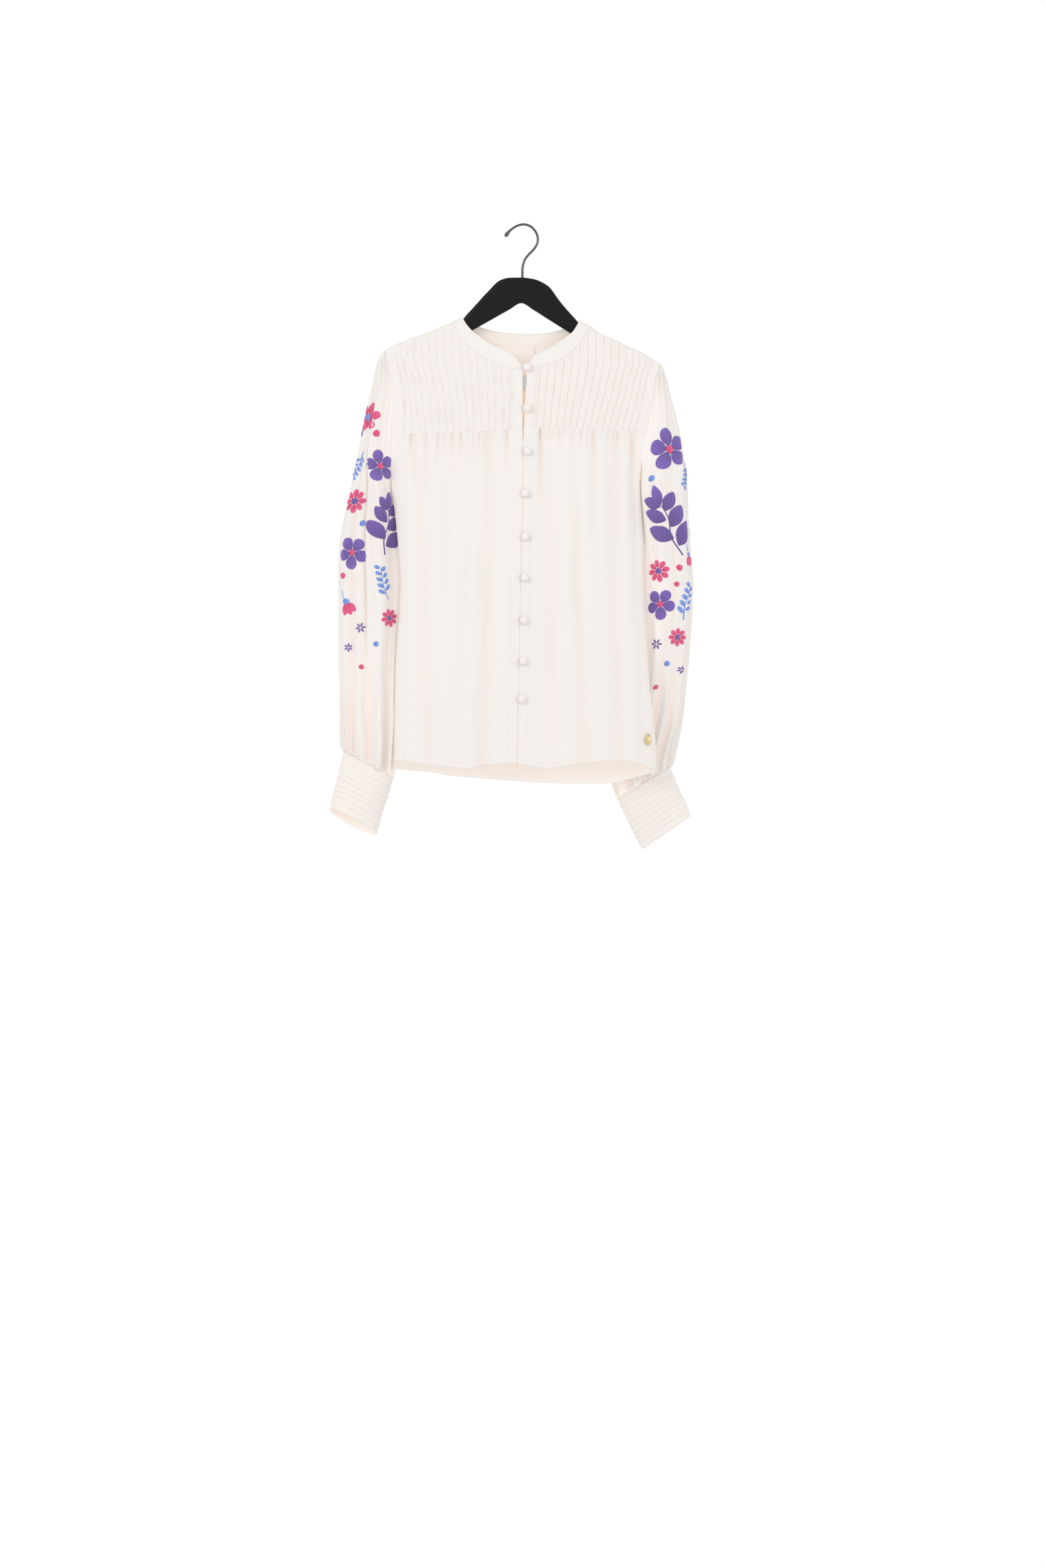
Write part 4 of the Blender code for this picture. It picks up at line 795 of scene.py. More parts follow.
def addBack():
    middle = bodice["backMiddle"]
    across = oddly(np.linspace(-1, 1, bodice["backColumns"]))[None, :]
    sideOf = np.where(across < 0, right, left)

    def columnX(z):
        share = 1 - (1 - np.abs(across)) ** bunched(bySide(bodice["side"], across, z, 2))
        return mix(middle, sideOf * bySide(bodice["side"], across, z, 1), share)

    def topOf(x):
        neck = np.where(x < 0, bodice["neckWidth"][right], bodice["neckWidth"][left])
        return np.where(np.abs(x) >= neck, bySide(bodice["shoulder"], x, np.abs(x)),
                        along(bodice["neckBack"], x))

    tips = np.where(across < 0, bodice["shoulder"][right][-1][1], bodice["shoulder"][left][-1][1])
    top = settled(mix(bodice["backTop"], tips, np.abs(across)), lambda z: topOf(columnX(z)))
    chest = mix(yokeEnd(right), yokeEnd(left), (across + 1) / 2)
    hem = along(bodice["backHem"], columnX(np.full_like(across, bodice["backLow"])))
    rows = [top - drop for drop in bodice["topDrops"]]
    rows += [mix(rows[-1], chest, t) for t in np.linspace(0, 1, 34)[1:]]
    rows += [mix(chest, bodice["underarm"] + 0 * chest, t) for t in np.linspace(0, 1, 20)[1:]]
    nearEnd = [0.975, 0.980, 0.984, 0.988, 0.992, 0.996, 1]
    lows = oddly(np.append(np.linspace(0, 0.97, 90)[1:], nearEnd))
    rows += [mix(bodice["underarm"], hem, t) for t in lows]
    z = np.concatenate(rows)
    x = columnX(z)
    start, over = bodice["backFoldsFrom"]
    t = np.clip((start - z) / over, 0, 1)
    large = 0
    for fold in bodice["backFolds"]:
        large = large + threeHeights(fold, 3, t) * bump(x - mix(fold[0], fold[1], t), fold[2])
    toSide = bySide(bodice["side"], x, z) - np.abs(x)
    large = large * ease(toSide / 0.03)
    fine = (bodice["crease"] * ripples(x / 0.035, z / 0.30, 71)
            + bodice["crease"] * 0.4 * ripples(x / 0.012, z / 0.06, 73))
    fine = fine * ease(toSide / 0.012) * ease((top - z) / 0.02)
    hemmed = hemRoll(z - hem, ripples(x / 0.0065, z / 0.03, 79))
    y = bodyDepth(x, z, 2)
    shoulder = np.abs(x[0]) >= np.where(x[0] < 0, bodice["neckWidth"][right], bodice["neckWidth"][left])
    y[0, shoulder] = -bodice["tuckUp"][1]
    z[0, shoulder] -= 0.0003
    plain = np.stack([x, y, z], -1)
    facing = facingOf(plain, (0, 1, 0))
    facing[0, shoulder] = unit(facing[0, shoulder] * (1, 0.2, 1))
    facing[:, :, 2] *= mix(1.0, 0.3, ease((top - z) / 0.02))
    facing = unit(facing)
    outer = plain + facing * (large + fine + hemmed)[..., None]
    below = (z[:, 0] <= bodice["underarm"] + 1e-6)
    for column in (0, -1):
        outer[:, column] = plain[:, column]
        outer[below, column, 1] = -bodice["seamGap"] / 2
    soft = plain + facing * large[..., None]
    soft[:, [0, -1]] = outer[:, [0, -1]]
    flat = [(0, shoulder, 1)]
    inner = insideOf(soft, facing, flat, cloth["wall"])
    for column, way in ((0, 1), (-1, -1)):
        inner[:, column] = outer[::2, column] + np.array([way * cloth["wall"], 0, 0])
        above = ~below[::2]
        inner[above, column] = outer[::2][above, column] - np.array([0, cloth["wall"], 0])
    # the inner side's painted glow and warm tint, and painted shade in the folds' valleys
    above, under, over, least = bodice["backLight"]
    deep = hemGlow(z - z[-1]) * ease((under - z) / over) + least * ease((z - above) / over)
    made = addShell("backPanel", outer, inner, valleys(large + fine, depth=0.0016),
                    deep=np.clip(deep, 0, 1)[::2, ::2])
    sewn(made, bodice["cut"]["back"])
    return outer, facing


back = addBack()
print("blouse: back")

band = {
    # from the wearer's right front edge round the back: seam x, top x, top z
    "rows": mm([(-1.2, -3, -189), (-3.5, -6.3, -186), (-9, -10.8, -179), (-16.2, -18.5, -173.7),
        (-27.9, -29, -168), (-45.9, -43.2, -161.1), (-61.2, -57.6, -152.1), (-72.9, -68.4, -144),
        (-81.9, -76.5, -135), (-90, -81.2, -127.5), (-95.4, -83.3, -123.3), (-88.5, -77.5, -128.5),
        (-75, -62, -135), (-55, -46, -140), (-30, -26, -143.5), (0, 0, -145), (30, 29, -144.2),
        (52, 46, -140.8), (70, 60, -136.8), (81, 70.5, -133), (89.1, 75.4, -128.7), (82.8, 71.5, -135),
        (75.6, 64.8, -144.9), (64.8, 50.4, -155.7), (53.1, 37.8, -163.8), (39.6, 25, -170.5),
        (26.1, 16, -174.5), (16.2, 11.5, -179), (9, 8.5, -184.5), (4, 6, -188.5)]),
    "height": 0.017,
    "sides": (10, 20),  # rows at the shoulders, where the neck's front and back meet
    "steps": 8,  # columns between two rows
    "lap": 0.0013,  # how far its lower edge runs over the yokes and the back
    "cut": (0.430, 0.018, 0.0077),
}


def bandColumns():
    rows, ends, found = band["rows"], band["sides"], []
    for i in range(len(rows) - 1):
        before, after = rows[max(0, i - 1)], rows[min(len(rows) - 1, i + 2)]
        for k in range(band["steps"]):
            t = k / band["steps"]
            values = []
            for c in range(3):
                a, b = rows[i][c], rows[i + 1][c]
                bend = (1 - t) * (b - before[c]) - t * (after[c] - a) - (1 - 2 * t) * (b - a)
                bend = (t * (1 - t) / 2) * bend
                values.append(mix(a, b, t) + bend * (0 if i in ends or i + 1 in ends else 1))
            found.append((*values, ends[0] <= i + t < ends[1], i + t))
    return found + [(*rows[-1], False, len(rows) - 1)]


def bandSeam(x, behind, place):
    side = right if x < 0 else left
    if place in band["sides"]:
        return np.array([x, 0, float(along(bodice["shoulder"][side], abs(x)))])
    table = bodice["neckBack"] if behind else bodice["neckFront"][side]
    z = float(along(table, x if behind else abs(x)))
    return np.array([x, float(bodyDepth(x, z, 2 if behind else 1)) * (1 if behind else -1), z])


def addBand():
    shares = np.linspace(0, 1, 15)[:, None]
    tops, lows = [], []
    for seamX, topX, topZ, behind, place in bandColumns():
        low = bandSeam(seamX, behind, place)
        top = np.array([topX, low[1] * 0.93, topZ])
        beyond = low - unit(top - low) * band["lap"]
        if place not in band["sides"]:
            beyond[1] = float(bodyDepth(beyond[0], beyond[2], 2 if behind else 1)) * (1 if behind else -1)
        tops.append(top)
        lows.append(beyond)
    tops, lows = np.array(tops), np.array(lows)
    plain = mix(tops[None], lows[None], shares[..., None])
    toward = plain * (0.4, 1.5, 0) + (0, 0, 0.012)
    facing = facingOf(plain, toward)
    last = plain.shape[1] - 1
    facing[:, [0, last], 0] = 0
    facing = unit(facing)
    far = distances(lows)[None, :]
    down = shares * band["height"]
    lift = 0.0004 - 0.0004 * bump(down - 0.0015, 0.0007) + 0.0003 * ease((down - 0.0140) / 0.0020)
    lift = lift - 0.0005 * ease((0.0006 - down) / 0.0006) + 0.00016 * ripples(far / 0.012, down / 0.02, 83)
    outer = plain + facing * lift[..., None]
    inner = insideOf(plain, facing, [(slice(None), 0, 0), (slice(None), last, 0)], cloth["wall"])
    # painted shade in its small valleys, and a share of painted glow on its inner side
    made = addShell("neckBand", outer, inner, valleys(lift.T, (1,), 0.0003).T * 0.3, deep=0.25)
    sewn(made, band["cut"])
    return outer, facing


neckBand = addBand()
print("blouse: neck band")

foldsBehind = [(0.62, 0.040, -0.0006, -0.0020, -0.001), (0.75, 0.050, 0, 0.0020, 0.001),
               (0.88, 0.040, 0, -0.0016, -0.001)]
sleeve = {
    "head": mm({  # z, outer width
        right: [(-169.5, 189), (-176, 194), (-190, 199), (-208, 202.5), (-226, 207), (-253, 212),
                (-293, 220.5), (-334, 229), (-350, 232.5)],
        left: [(-188, 186), (-199, 190.5), (-212, 193.5), (-244, 201.6), (-280, 210.6), (-307, 215),
               (-350, 220.3)]}),
    "headRows": [(0, 0.0075), (0.03, 0.0095), (0.10, 0.0125), (0.26, 0.016), (0.45, 0.0195), (0.62, 0.022),
                 (0.80, 0.023), (1, 0.023)],
    "sections": mm({  # outer width, outer z, inner width, inner z, y, half depth
        right: [(241.5, -388, 174.3, -388, 9, 23.5), (249, -430, 169, -430, 18, 24),
                (250, -480, 165.5, -480, 20, 25), (249.5, -530, 165.5, -530, 19, 25),
                (249.5, -580, 168.5, -580, 19, 25), (248, -630, 171, -634, 19, 25),
                (246.5, -672, 172.5, -688, 19, 24), (244.7, -697, 174, -724, 19, 21),
                (243.7, -709, 176.5, -745, 19, 16)],
        left: [(222, -388, 157.8, -388, 8, 23.5), (225, -430, 159.7, -430, 17, 24),
               (229.3, -480, 158, -480, 25, 25), (227.2, -530, 155, -530, 30, 25),
               (223.3, -580, 153, -582, 37, 25), (217.5, -630, 148, -638, 45, 25),
               (211, -675, 136, -698, 52, 24), (203, -712, 120, -745, 54, 21),
               (198.5, -731, 126.5, -773.5, 54, 16)]}),
    "folds": {  # place round it, half width, height at the head, halfway, at the cuff
        right: [(0.11, 0.030, 0, -0.0024, -0.0012), (0.19, 0.030, 0.0008, 0.0014, 0.0016),
                (0.36, 0.030, -0.0008, -0.0018, -0.0014), (0.43, 0.028, 0.0006, 0.0014, 0), *foldsBehind],
        left: [(0.13, 0.030, 0, -0.0014, -0.0020), (0.21, 0.030, 0.0008, 0.0014, 0.0014),
               (0.29, 0.028, -0.0008, -0.0022, -0.0020), (0.38, 0.030, 0.0006, 0.0016, 0.0010),
               *foldsBehind]},
    "pleatPlace": 0.2625,
    "pleatSpread": 0.055,
    "pleat": [(0, 0), (0.06, 0), (0.14, 0.0024), (0.30, 0.0030), (0.60, 0.0030), (0.74, 0.0016), (0.85, 0)],
    "pleatEdge": 0.0042,
    "pleatOver": 0.0024,  # how far the pleat's fold lies over
    "columns": 235,
    "gathers": 10,
    "gatherHeight": [(0, 0), (0.06, 0), (0.14, 0.0007), (0.30, 0.0003), (0.62, 0.0005), (0.76, 0.0016),
                     (0.92, 0.0030), (1, 0.0032)],
    "fineGathers": 31,
    "fineHeight": [(0, 0), (0.04, 0.0004), (0.10, 0.0003), (0.20, 0.00008), (0.70, 0.00008), (0.84, 0.0007),
                   (0.95, 0.0015), (1, 0.0017)],
    # share of the gathers left at the cuff's seam, over what length, deepest valley there
    "atCuff": (0.45, 0.007, 0.0008),
    "shaded": {right: 0.075, left: 0.150},  # how far round it the body's painted warm shade reaches
    "shadeDown": ((0.12, 0, 0.1), (0.85, 0.35, 0.25)),  # its strength, from how far down, over what length
    "lit": (0.14, 0.55, 0.3),  # painted glow for light through the gathers: strength, from how far down, over what length
    "tuckIn": (0.0018, 0.0010),  # how far the end runs into the cuff, and how deep
    "cut": (0.245, 0.560, 0.122),
}


def armholeEnds(side):
    # heights down the armhole edge where the head's rows end
    tip, seam = bodice["shoulder"][side][-1][1], yokeEnd(side)
    low = tip - 0.009
    between = [mix(low, seam, share) for share in (0.15, 0.40, 0.70, 1)]
    return [tip - 0.004, low] + between + [-0.315, bodice["underarm"]]


def ringPoint(section, around, out=0.0):
    # around is 0 at the inner edge, a quarter turn at the front and half a turn at the outer edge
    outerW, outerZ, innerW, innerZ, y, halfDepth = section
    half = math.hypot(outerW - innerW, outerZ - innerZ) / 2
    reach = -np.cos(around) * (1 + out / half) / 2
    return (mix(innerW, outerW, 0.5 + reach), y - np.sin(around) * (halfDepth + out),
            mix(innerZ, outerZ, 0.5 + reach))


def sleeveRow(side, i, place):
    headRows = sleeve["headRows"]
    if i >= len(headRows):
        return ringPoint(sleeve["sections"][side][i - len(headRows)], tau * place)
    share, halfDepth = headRows[i]
    endZ = armholeEnds(side)[i]
    middleZ = mix(bodice["shoulder"][side][-1][1], bodice["underarm"], share)
    edgeWidth = float(along(bodice["side"][side], endZ))
    outerW, innerW = float(along(sleeve["head"][side], middleZ)), edgeWidth + bodice["seamGap"] + 0.0001
    front = place <= 0.5
    edge = np.where(front, bodyDepth(side * edgeWidth, endZ, 1), bodyDepth(side * edgeWidth, endZ, 2))
    depth = np.maximum(halfDepth, edge)
    first = np.arcsin(np.minimum(1, edge / depth))
    around = mix(first, math.pi, 1 - np.abs(2 * place - 1))
    half = (outerW - innerW) / (1 + np.cos(first))
    width = outerW - half * (1 + np.cos(around))
    y = depth * np.sin(around) * np.where(front, -1, 1)
    lift = (np.cos(first) - np.cos(around)) / (1 + np.cos(first))
    return width, y, mix(endZ, middleZ, lift)


def sleeveLift(side, place, down, toCuff):
    away = ease(np.minimum(place, 1 - place) / 0.05)
    large = 0
    for fold in sleeve["folds"][side]:
        large = large + threeHeights(fold, 2, down) * bump(place - fold[0], fold[1])
    uneven = place + 0.010 * np.sin(tau * 3 * place + 1.3 * side)
    kept, length, deepest = sleeve["atCuff"]
    sewnIn = mix(kept, 1, ease(toCuff / length))
    large = large + along(sleeve["gatherHeight"], down) * np.cos(tau * sleeve["gathers"] * uneven) * sewnIn
    if side == right:
        beyond = place - sleeve["pleatPlace"]
        step = along(sleeve["pleat"], down) * np.exp(-np.abs(beyond) / sleeve["pleatSpread"])
        large = large - step * np.tanh(beyond / sleeve["pleatEdge"])
    large = large * away * ease(down / 0.15)
    wander = place + 0.006 * ripples(place * 7, down * 5, 91 + side)
    wave = np.cos(tau * sleeve["fineGathers"] * wander + 3 * ripples(place * 6, down * 1.2, 95 + side))
    edge = ease(np.minimum(place, 1 - place) / 0.02) * ease(down / 0.02)
    fine = along(sleeve["fineHeight"], down) * (wave - 0.5 * (1 - np.abs(wave)) ** 2) * sewnIn
    fine = fine + 0.00045 * ripples(place * 11, down * 2.2, 101 + side) * ease(down / 0.10)
    fine = fine + 0.00016 * ripples(place * 34, down * 11, 107 + side) * ease(down / 0.05)
    lowest = -deepest - 0.008 * ease((toCuff - 0.001) / length)
    return np.maximum(large, lowest), np.maximum(large + fine * edge, lowest)


def addSleeve(side):
    places = oddly(np.linspace(0, 1, sleeve["columns"]))
    rowCount = len(sleeve["headRows"]) + len(sleeve["sections"][side])
    rows = np.array([np.stack([part + 0 * places for part in sleeveRow(side, i, places)], -1)
                     for i in range(rowCount)])
    rows[..., 0] *= side
    far = np.concatenate([[0], np.cumsum(np.linalg.norm(np.diff(rows, axis=0), axis=2).mean(1))])
    want = np.concatenate([np.linspace(0, 0.012, 7), np.linspace(0.016, far[-1] - 0.03, 118),
                           np.linspace(far[-1] - 0.027, far[-1], 16)])
    want = oddly(want)
    plain = through(rows, far, want, np.gradient(rows, far, axis=0))
    # the head's edge follows the armhole, and below it the two edges meet in the seam
    tip, end = bodice["shoulder"][side][-1][1], sleeve["sections"][side][-1][1]
    down = np.clip((tip - plain[..., 2]) / (tip - end), 0, 1)
    place = places[None, :] + 0 * down
    large, full = sleeveLift(side, place, down, far[-1] - want[:, None])
    toward = np.stack([-side * np.cos(tau * place) * 0.8, -np.sin(tau * place), 0.1 + 0 * place], -1)
    facing = facingOf(plain, toward)
    facing[:, [0, -1], 0] = 0
    facing[0, :, 0] = 0
    facing = unit(facing)
    head = want < far[len(sleeve["headRows"]) - 1]
    spot = plain.copy()
    if side == right:
        beyond = place - sleeve["pleatPlace"]
        over = along(sleeve["pleat"], down) / 0.0030 * sleeve["pleatOver"]
        shift = np.where(beyond < 0, over * np.exp(beyond / 0.014), -over * 0.3 * np.exp(-beyond / 0.008))
        spot = spot + unit(np.gradient(plain, axis=1)) * shift[..., None]
    outer = spot + facing * full[..., None]
    soft = plain + facing * np.minimum(large, full + 0.0002)[..., None]
    up, deep = bodice["tuckUp"]
    for column, way in ((0, 1), (-1, -1)):
        outer[:, column] = soft[:, column] = plain[:, column]
        # the head's edge runs on under the body's, and lower down the two edges close up
        outer[head, column] += np.array([-side * up, way * deep, 0])
        outer[~head, column, 1] += way * bodice["seamGap"] / 2
    far, deep = sleeve["tuckIn"]
    toCuff = unit((rows[-1] - rows[-2]).mean(0))
    outer[-1] += toCuff * far - facing[-1] * deep
    soft[-1] = outer[-1]
    facingIn = facingOf(soft, toward)
    inner = insideOf(soft, facingIn, [(0, slice(None), 0)], cloth["wall"])
    edge = outer[::2]
    for column, way in ((0, 1), (-1, -1)):
        inner[head[::2], column] = edge[head[::2], column] + np.array([0, way * cloth["wall"], 0])
        inner[~head[::2], column] = edge[~head[::2], column] + np.array([side * cloth["wall"], 0, 0])
    # the body's painted warm shade, also given as painted glow, painted shade in the folds' valleys, and a
    # painted glow for light through the gathers low down on the front
    reach = sum(strength * ease((down - start) / over) for strength, start, over in sleeve["shadeDown"])
    shadeBeside = bump(place, sleeve["shaded"][side]) * reach
    paintedShade = np.clip(valleys(full, (2, 4), 0.0009) + valleys(full, (5, 9), 0.0022) * 0.8, 0, 1.4)
    strength, start, over = sleeve["lit"]
    lit = strength * np.clip(paintedShade, 0, 1) * ease((down - start) / over) * (place < 0.5)
    made = addShell(sided("sleeve", side), outer, inner, np.maximum(paintedShade, shadeBeside),
                    glowAmount=np.maximum(shadeBeside, lit))
    sewn(made, sleeve["cut"])
    return outer, facing, places, down


sleeves = {side: addSleeve(side) for side in (right, left)}
print("blouse: sleeves")

cuff = {
    # section at the top and the mouth, y, y, half depth, half depth, how far the mouth's front is raised
    right: ((0.2437, -0.7094, 0.1765, -0.7454), (0.2630, -0.7890, 0.2000, -0.8215), 0.019, 0.016,
            0.016, 0.019, 0.0065),
    left: ((0.1987, -0.7314, 0.1267, -0.7739), (0.2270, -0.7965, 0.1610, -0.8428), 0.054, 0.052,
           0.016, 0.016, 0.0010),
    "tucks": 8,
    "first": 0.165,
    "pitch": 0.100,
    "height": 0.00075,
    "profile": [(-0.30, 0), (-0.16, 0.10), (-0.06, 0.55), (0.02, 0.95), (0.09, 1.0), (0.115, 0.70),
                (0.10, 0.15), (0.13, -0.15), (0.25, -0.08), (0.45, 0)],
    "before": [(0, 0), (0.03, 0), (0.07, 0)],
    "after": [(0.93, 0), (0.955, 0.1), (0.975, 0.1), (0.99, 0), (1, -0.3)],
    "spare": 0.015,
    "girth": 0.155,
    "columns": 176,
    "evenShade": 0.16,  # an even share of the painted shade tint, all over the cuff
    "open": {right: 0.45, left: 0.70},  # how much paler the mouth's inner side is than its depth, in painted glow and warm tint
    "wander": {right: 0.010, left: 0.003},  # how far the tucks stray, in cuff lengths
    "pucker": {right: 0.00026, left: 0.00008},
    "limp": {right: 0.0009, left: 0.0004},
    "cut": (0.165, 0.100, 0.0160),
}


def addCuff(side):
    topEnd, lowEnd, yTop, yLow, depthTop, depthLow, raised = cuff[side]
    down, height = tuckPlaces(cuff, cuff["pitch"])[:, :, None]
    around = (tau * np.arange(cuff["columns"]) / cuff["columns"])[None, :]

    def rings(down, out):
        outerW, outerZ, innerW, innerZ = (mix(a, b, down) for a, b in zip(topEnd, lowEnd))
        y, halfDepth = mix(yTop, yLow, down), mix(depthTop, depthLow, down)
        half = math.hypot(topEnd[0] - topEnd[2], topEnd[1] - topEnd[3]) / 2
        reach = -np.cos(around) * (1 + out / half) / 2
        width, z = mix(innerW, outerW, 0.5 + reach), mix(innerZ, outerZ, 0.5 + reach)
        lifted = z + raised * ease(down) * np.sin(around) - bodice["seamGap"] / 2
        return np.stack([side * width, y - np.sin(around) * (halfDepth + out), lifted], -1)

    girth = around / tau * cuff["girth"]
    wander = cuff["wander"][side] * ripples(girth / 0.030, down * 2.5, 113 + side)
    wander = wander * ease(down / 0.1) * ease((1 - down) / 0.08)
    rise = height * cuff["height"] * (1 + 0.25 * ripples(girth / 0.012, down * 7, 117 + side))
    rise = rise + 0.0005 * ease((0.035 - down) / 0.02)
    pucker = cuff["pucker"][side] * ripples(girth / 0.007, down * 9, 121 + side) * ease(down / 0.06)
    limp = cuff["limp"][side] * ripples(girth / 0.045, down * 1.3, 125 + side) * ease(down / 0.25)
    outer = rings(down + wander, rise + pucker + limp)
    softly = rings(down + wander, limp - cloth["wall"])
    # painted shade in the tucks' valleys and evenly over the cuff, an even painted glow outside, and
    # painted glow and warm tint inside, less toward the mouth
    shade = valleys((rise + pucker).T, (1, 3), 0.0005).T
    made = addShell(sided("cuff", side), outer, softly[::2, ::2], shade * 0.6 + cuff["evenShade"], wrap=True,
                    glowAmount=0.06, deep=(1 - cuff["open"][side] * ease(down * 1.2))[::2])
    sewn(made, cuff["cut"])
    return outer


cuffs = {side: addCuff(side) for side in (right, left)}
print("blouse: cuffs")


def frontAt(x, z):
    # how far forward the cloth reaches at (x, z)
    found = [0.0]
    for name in ("yokeRight", "yokeLeft", "frontRight", "frontLeft", "neckBand"):
        hit, place, _, _ = bpy.data.objects[name].ray_cast(Vector((x, -0.2, z)), Vector((0, 1, 0)))
        if hit:
            found.append(place.y)
    return min(found)


buttons = {
    "places": mm([  # x, z
        (4.5, -192.6), (4.5, -248.4), (4.5, -306), (1.8, -362.7), (1.8, -421.2), (0.9, -476.1),
        (0, -533.7), (-0.9, -588.6), (-2.7, -639.9)]),
    "profile": mm([  # how far out, radius
        (0.3, 0.9), (1.7, 1.2), (2, 2.6), (2.6, 4), (3.5, 5), (4.6, 5.3), (5.7, 5.25), (6.8, 4.9),
        (7.8, 4.1), (8.5, 3), (8.9, 1.7), (9, 0.6)]),
    "sides": 36,
    "near": 0.0012,  # how far round its middle the cloth has to lie behind it
    "loopSides": 10,
    "loopSteps": 60,
    "loopWire": 0.00065,
    "loopRadius": 0.0040,
    "loopReach": 0.0007,
}


def addButton(number, x, z):
    near = (-buttons["near"], 0, buttons["near"])
    base = min(frontAt(x + dx, z + dz) for dx in near for dz in near)
    turn = tau * np.arange(buttons["sides"]) / buttons["sides"]
    rings = []
    for out, radius in buttons["profile"]:
        # the cover is gathered behind, so its edge is a little uneven there
        edge = radius + 0.00010 * np.sin(9 * turn + number) * bump(out - 0.0030, 0.0012)
        y = np.full_like(turn, base - out)
        rings.append(np.stack([x + edge * np.cos(turn), y, z + edge * np.sin(turn)], -1))
    points = np.array(rings).reshape(-1, 3)
    reach = np.array([out for out, _ in buttons["profile"]])
    # painted shade on the button's sides near the cloth
    paintedShade = np.repeat(bump(reach - 0.0015, 0.0018) * 0.4, buttons["sides"])
    made = addMesh(f"button{number}", points, ringFaces(len(rings), buttons["sides"]), blouseCloth,
                   {"paintedShade": paintedShade, "inside": paintedShade * 0})
    dress(made, [f"button_{number}"])


def addLoop(number, x, z):
    wire, radius = buttons["loopWire"], buttons["loopRadius"]
    start = float(along(bodice["closing"][right], z)) - buttons["loopReach"]
    flat = [(start, z + 0.0030), (x - 0.0016, z + 0.0040)]
    for k in range(1, 6):
        angle = math.radians(90 - 30 * k)
        flat.append((x + radius * math.cos(angle), z + radius * math.sin(angle)))
    flat += [(x - 0.0016, z - 0.0040), (start, z - 0.0030)]
    base = min(frontAt(px + dx, pz) for px, pz in flat for dx in (-0.001, 0, 0.001))
    steps, sides = buttons["loopSteps"], buttons["loopSides"]
    path = curved([(px, base - 0.0002 - wire, pz) for px, pz in flat], steps)
    # its ends come out of the edge's seam
    dip = np.linspace(0.0019, 0, 9)
    path[:9, 1] += dip
    path[-9:, 1] += dip[::-1]
    # an even share of painted shade tint over the loop
    paintedShade = np.full(steps * sides, 0.10)
    made = addTube(f"loop{number}", path, wire, sides, (0, 1, 0), blouseCloth,
                   {"paintedShade": paintedShade, "inside": paintedShade * 0})
    dress(made, [f"loop_{number}"])


for number, (buttonX, buttonZ) in enumerate(buttons["places"], 1):
    addButton(number, buttonX, buttonZ)
    addLoop(number, buttonX, buttonZ)
print("blouse: buttons and loops")

labels = {
    "pieces": [  # name, node, left x, right x, top z, bottom z
        ("neckLabel", "neck_label", -0.0333, 0.0144, -0.1640, -0.1890),
        ("sizeLabel", "size_label", 0.0170, 0.0280, -0.1640, -0.1730),
        ("innerTape", "inner_tape", -0.0040, 0.0050, -0.2010, -0.2200)],
    "wall": 0.0009,
    "behind": 0.0010,  # between a label and the back
    "pucker": (0.0004, 0.0075),  # height, wavelength
}


def addLabel(name, node, leftX, rightX, top, bottom):
    x = np.linspace(leftX, rightX, 49)[None, :]
    z = np.linspace(top, bottom, 25)[:, None]
    y = bodyDepth(x, z, 2) - cloth["wall"] - labels["behind"] - labels["wall"] + 0 * x
    pull = bump(top - z, 0.004) if name == "neckLabel" else 0.2
    height, length = labels["pucker"]
    y = y - height * np.cos(tau * (x - leftX) / length + 0.8 * np.sin(x * 160)) * pull - 0.0001
    grid = np.stack([x + 0 * z, y, z + 0 * x], -1)
    facing = facingOf(grid, (0, -1, 0))
    inner = insideOf(grid, facing, [], labels["wall"])
    # painted shade in the puckers' valleys, and painted glow and warm tint on both sides
    made = addShell(name, grid, inner, valleys(-y, (2,), 0.0005), glowAmount=0.3, deep=0.4,
                    material=tapeCloth if name == "innerTape" else labelCloth)
    dress(made, [node])


for piece in labels["pieces"]:
    addLabel(*piece)
print("blouse: labels")

stitches = {
    "length": 0.0021,
    "gap": 0.0010,
    "width": 0.00040,
    "height": 0.00012,
    "inset": 0.0120,  # from the closing's edge to the rows beside it
}


def stitchRow(points, facing, found):
    # lozenges end to end along a line on the cloth
    far = distances(points)
    step = stitches["length"] + stitches["gap"]

    def at(place, values):
        return np.array([np.interp(place, far, values[:, c]) for c in range(3)])

    for start in np.arange(0.0012, far[-1] - step, step):
        ends = [at(start + part, points) for part in (0, stitches["length"])]
        out = unit(at(start + stitches["length"] / 2, facing))
        middle, run = (ends[0] + ends[1]) / 2, unit(ends[1] - ends[0])
        across = np.cross(run, out) * stitches["width"] / 2
        rise = out * stitches["height"]
        found.append([ends[0] - rise * 0.2, ends[1] - rise * 0.2, middle + across, middle - across,
                      middle + rise, middle - rise])


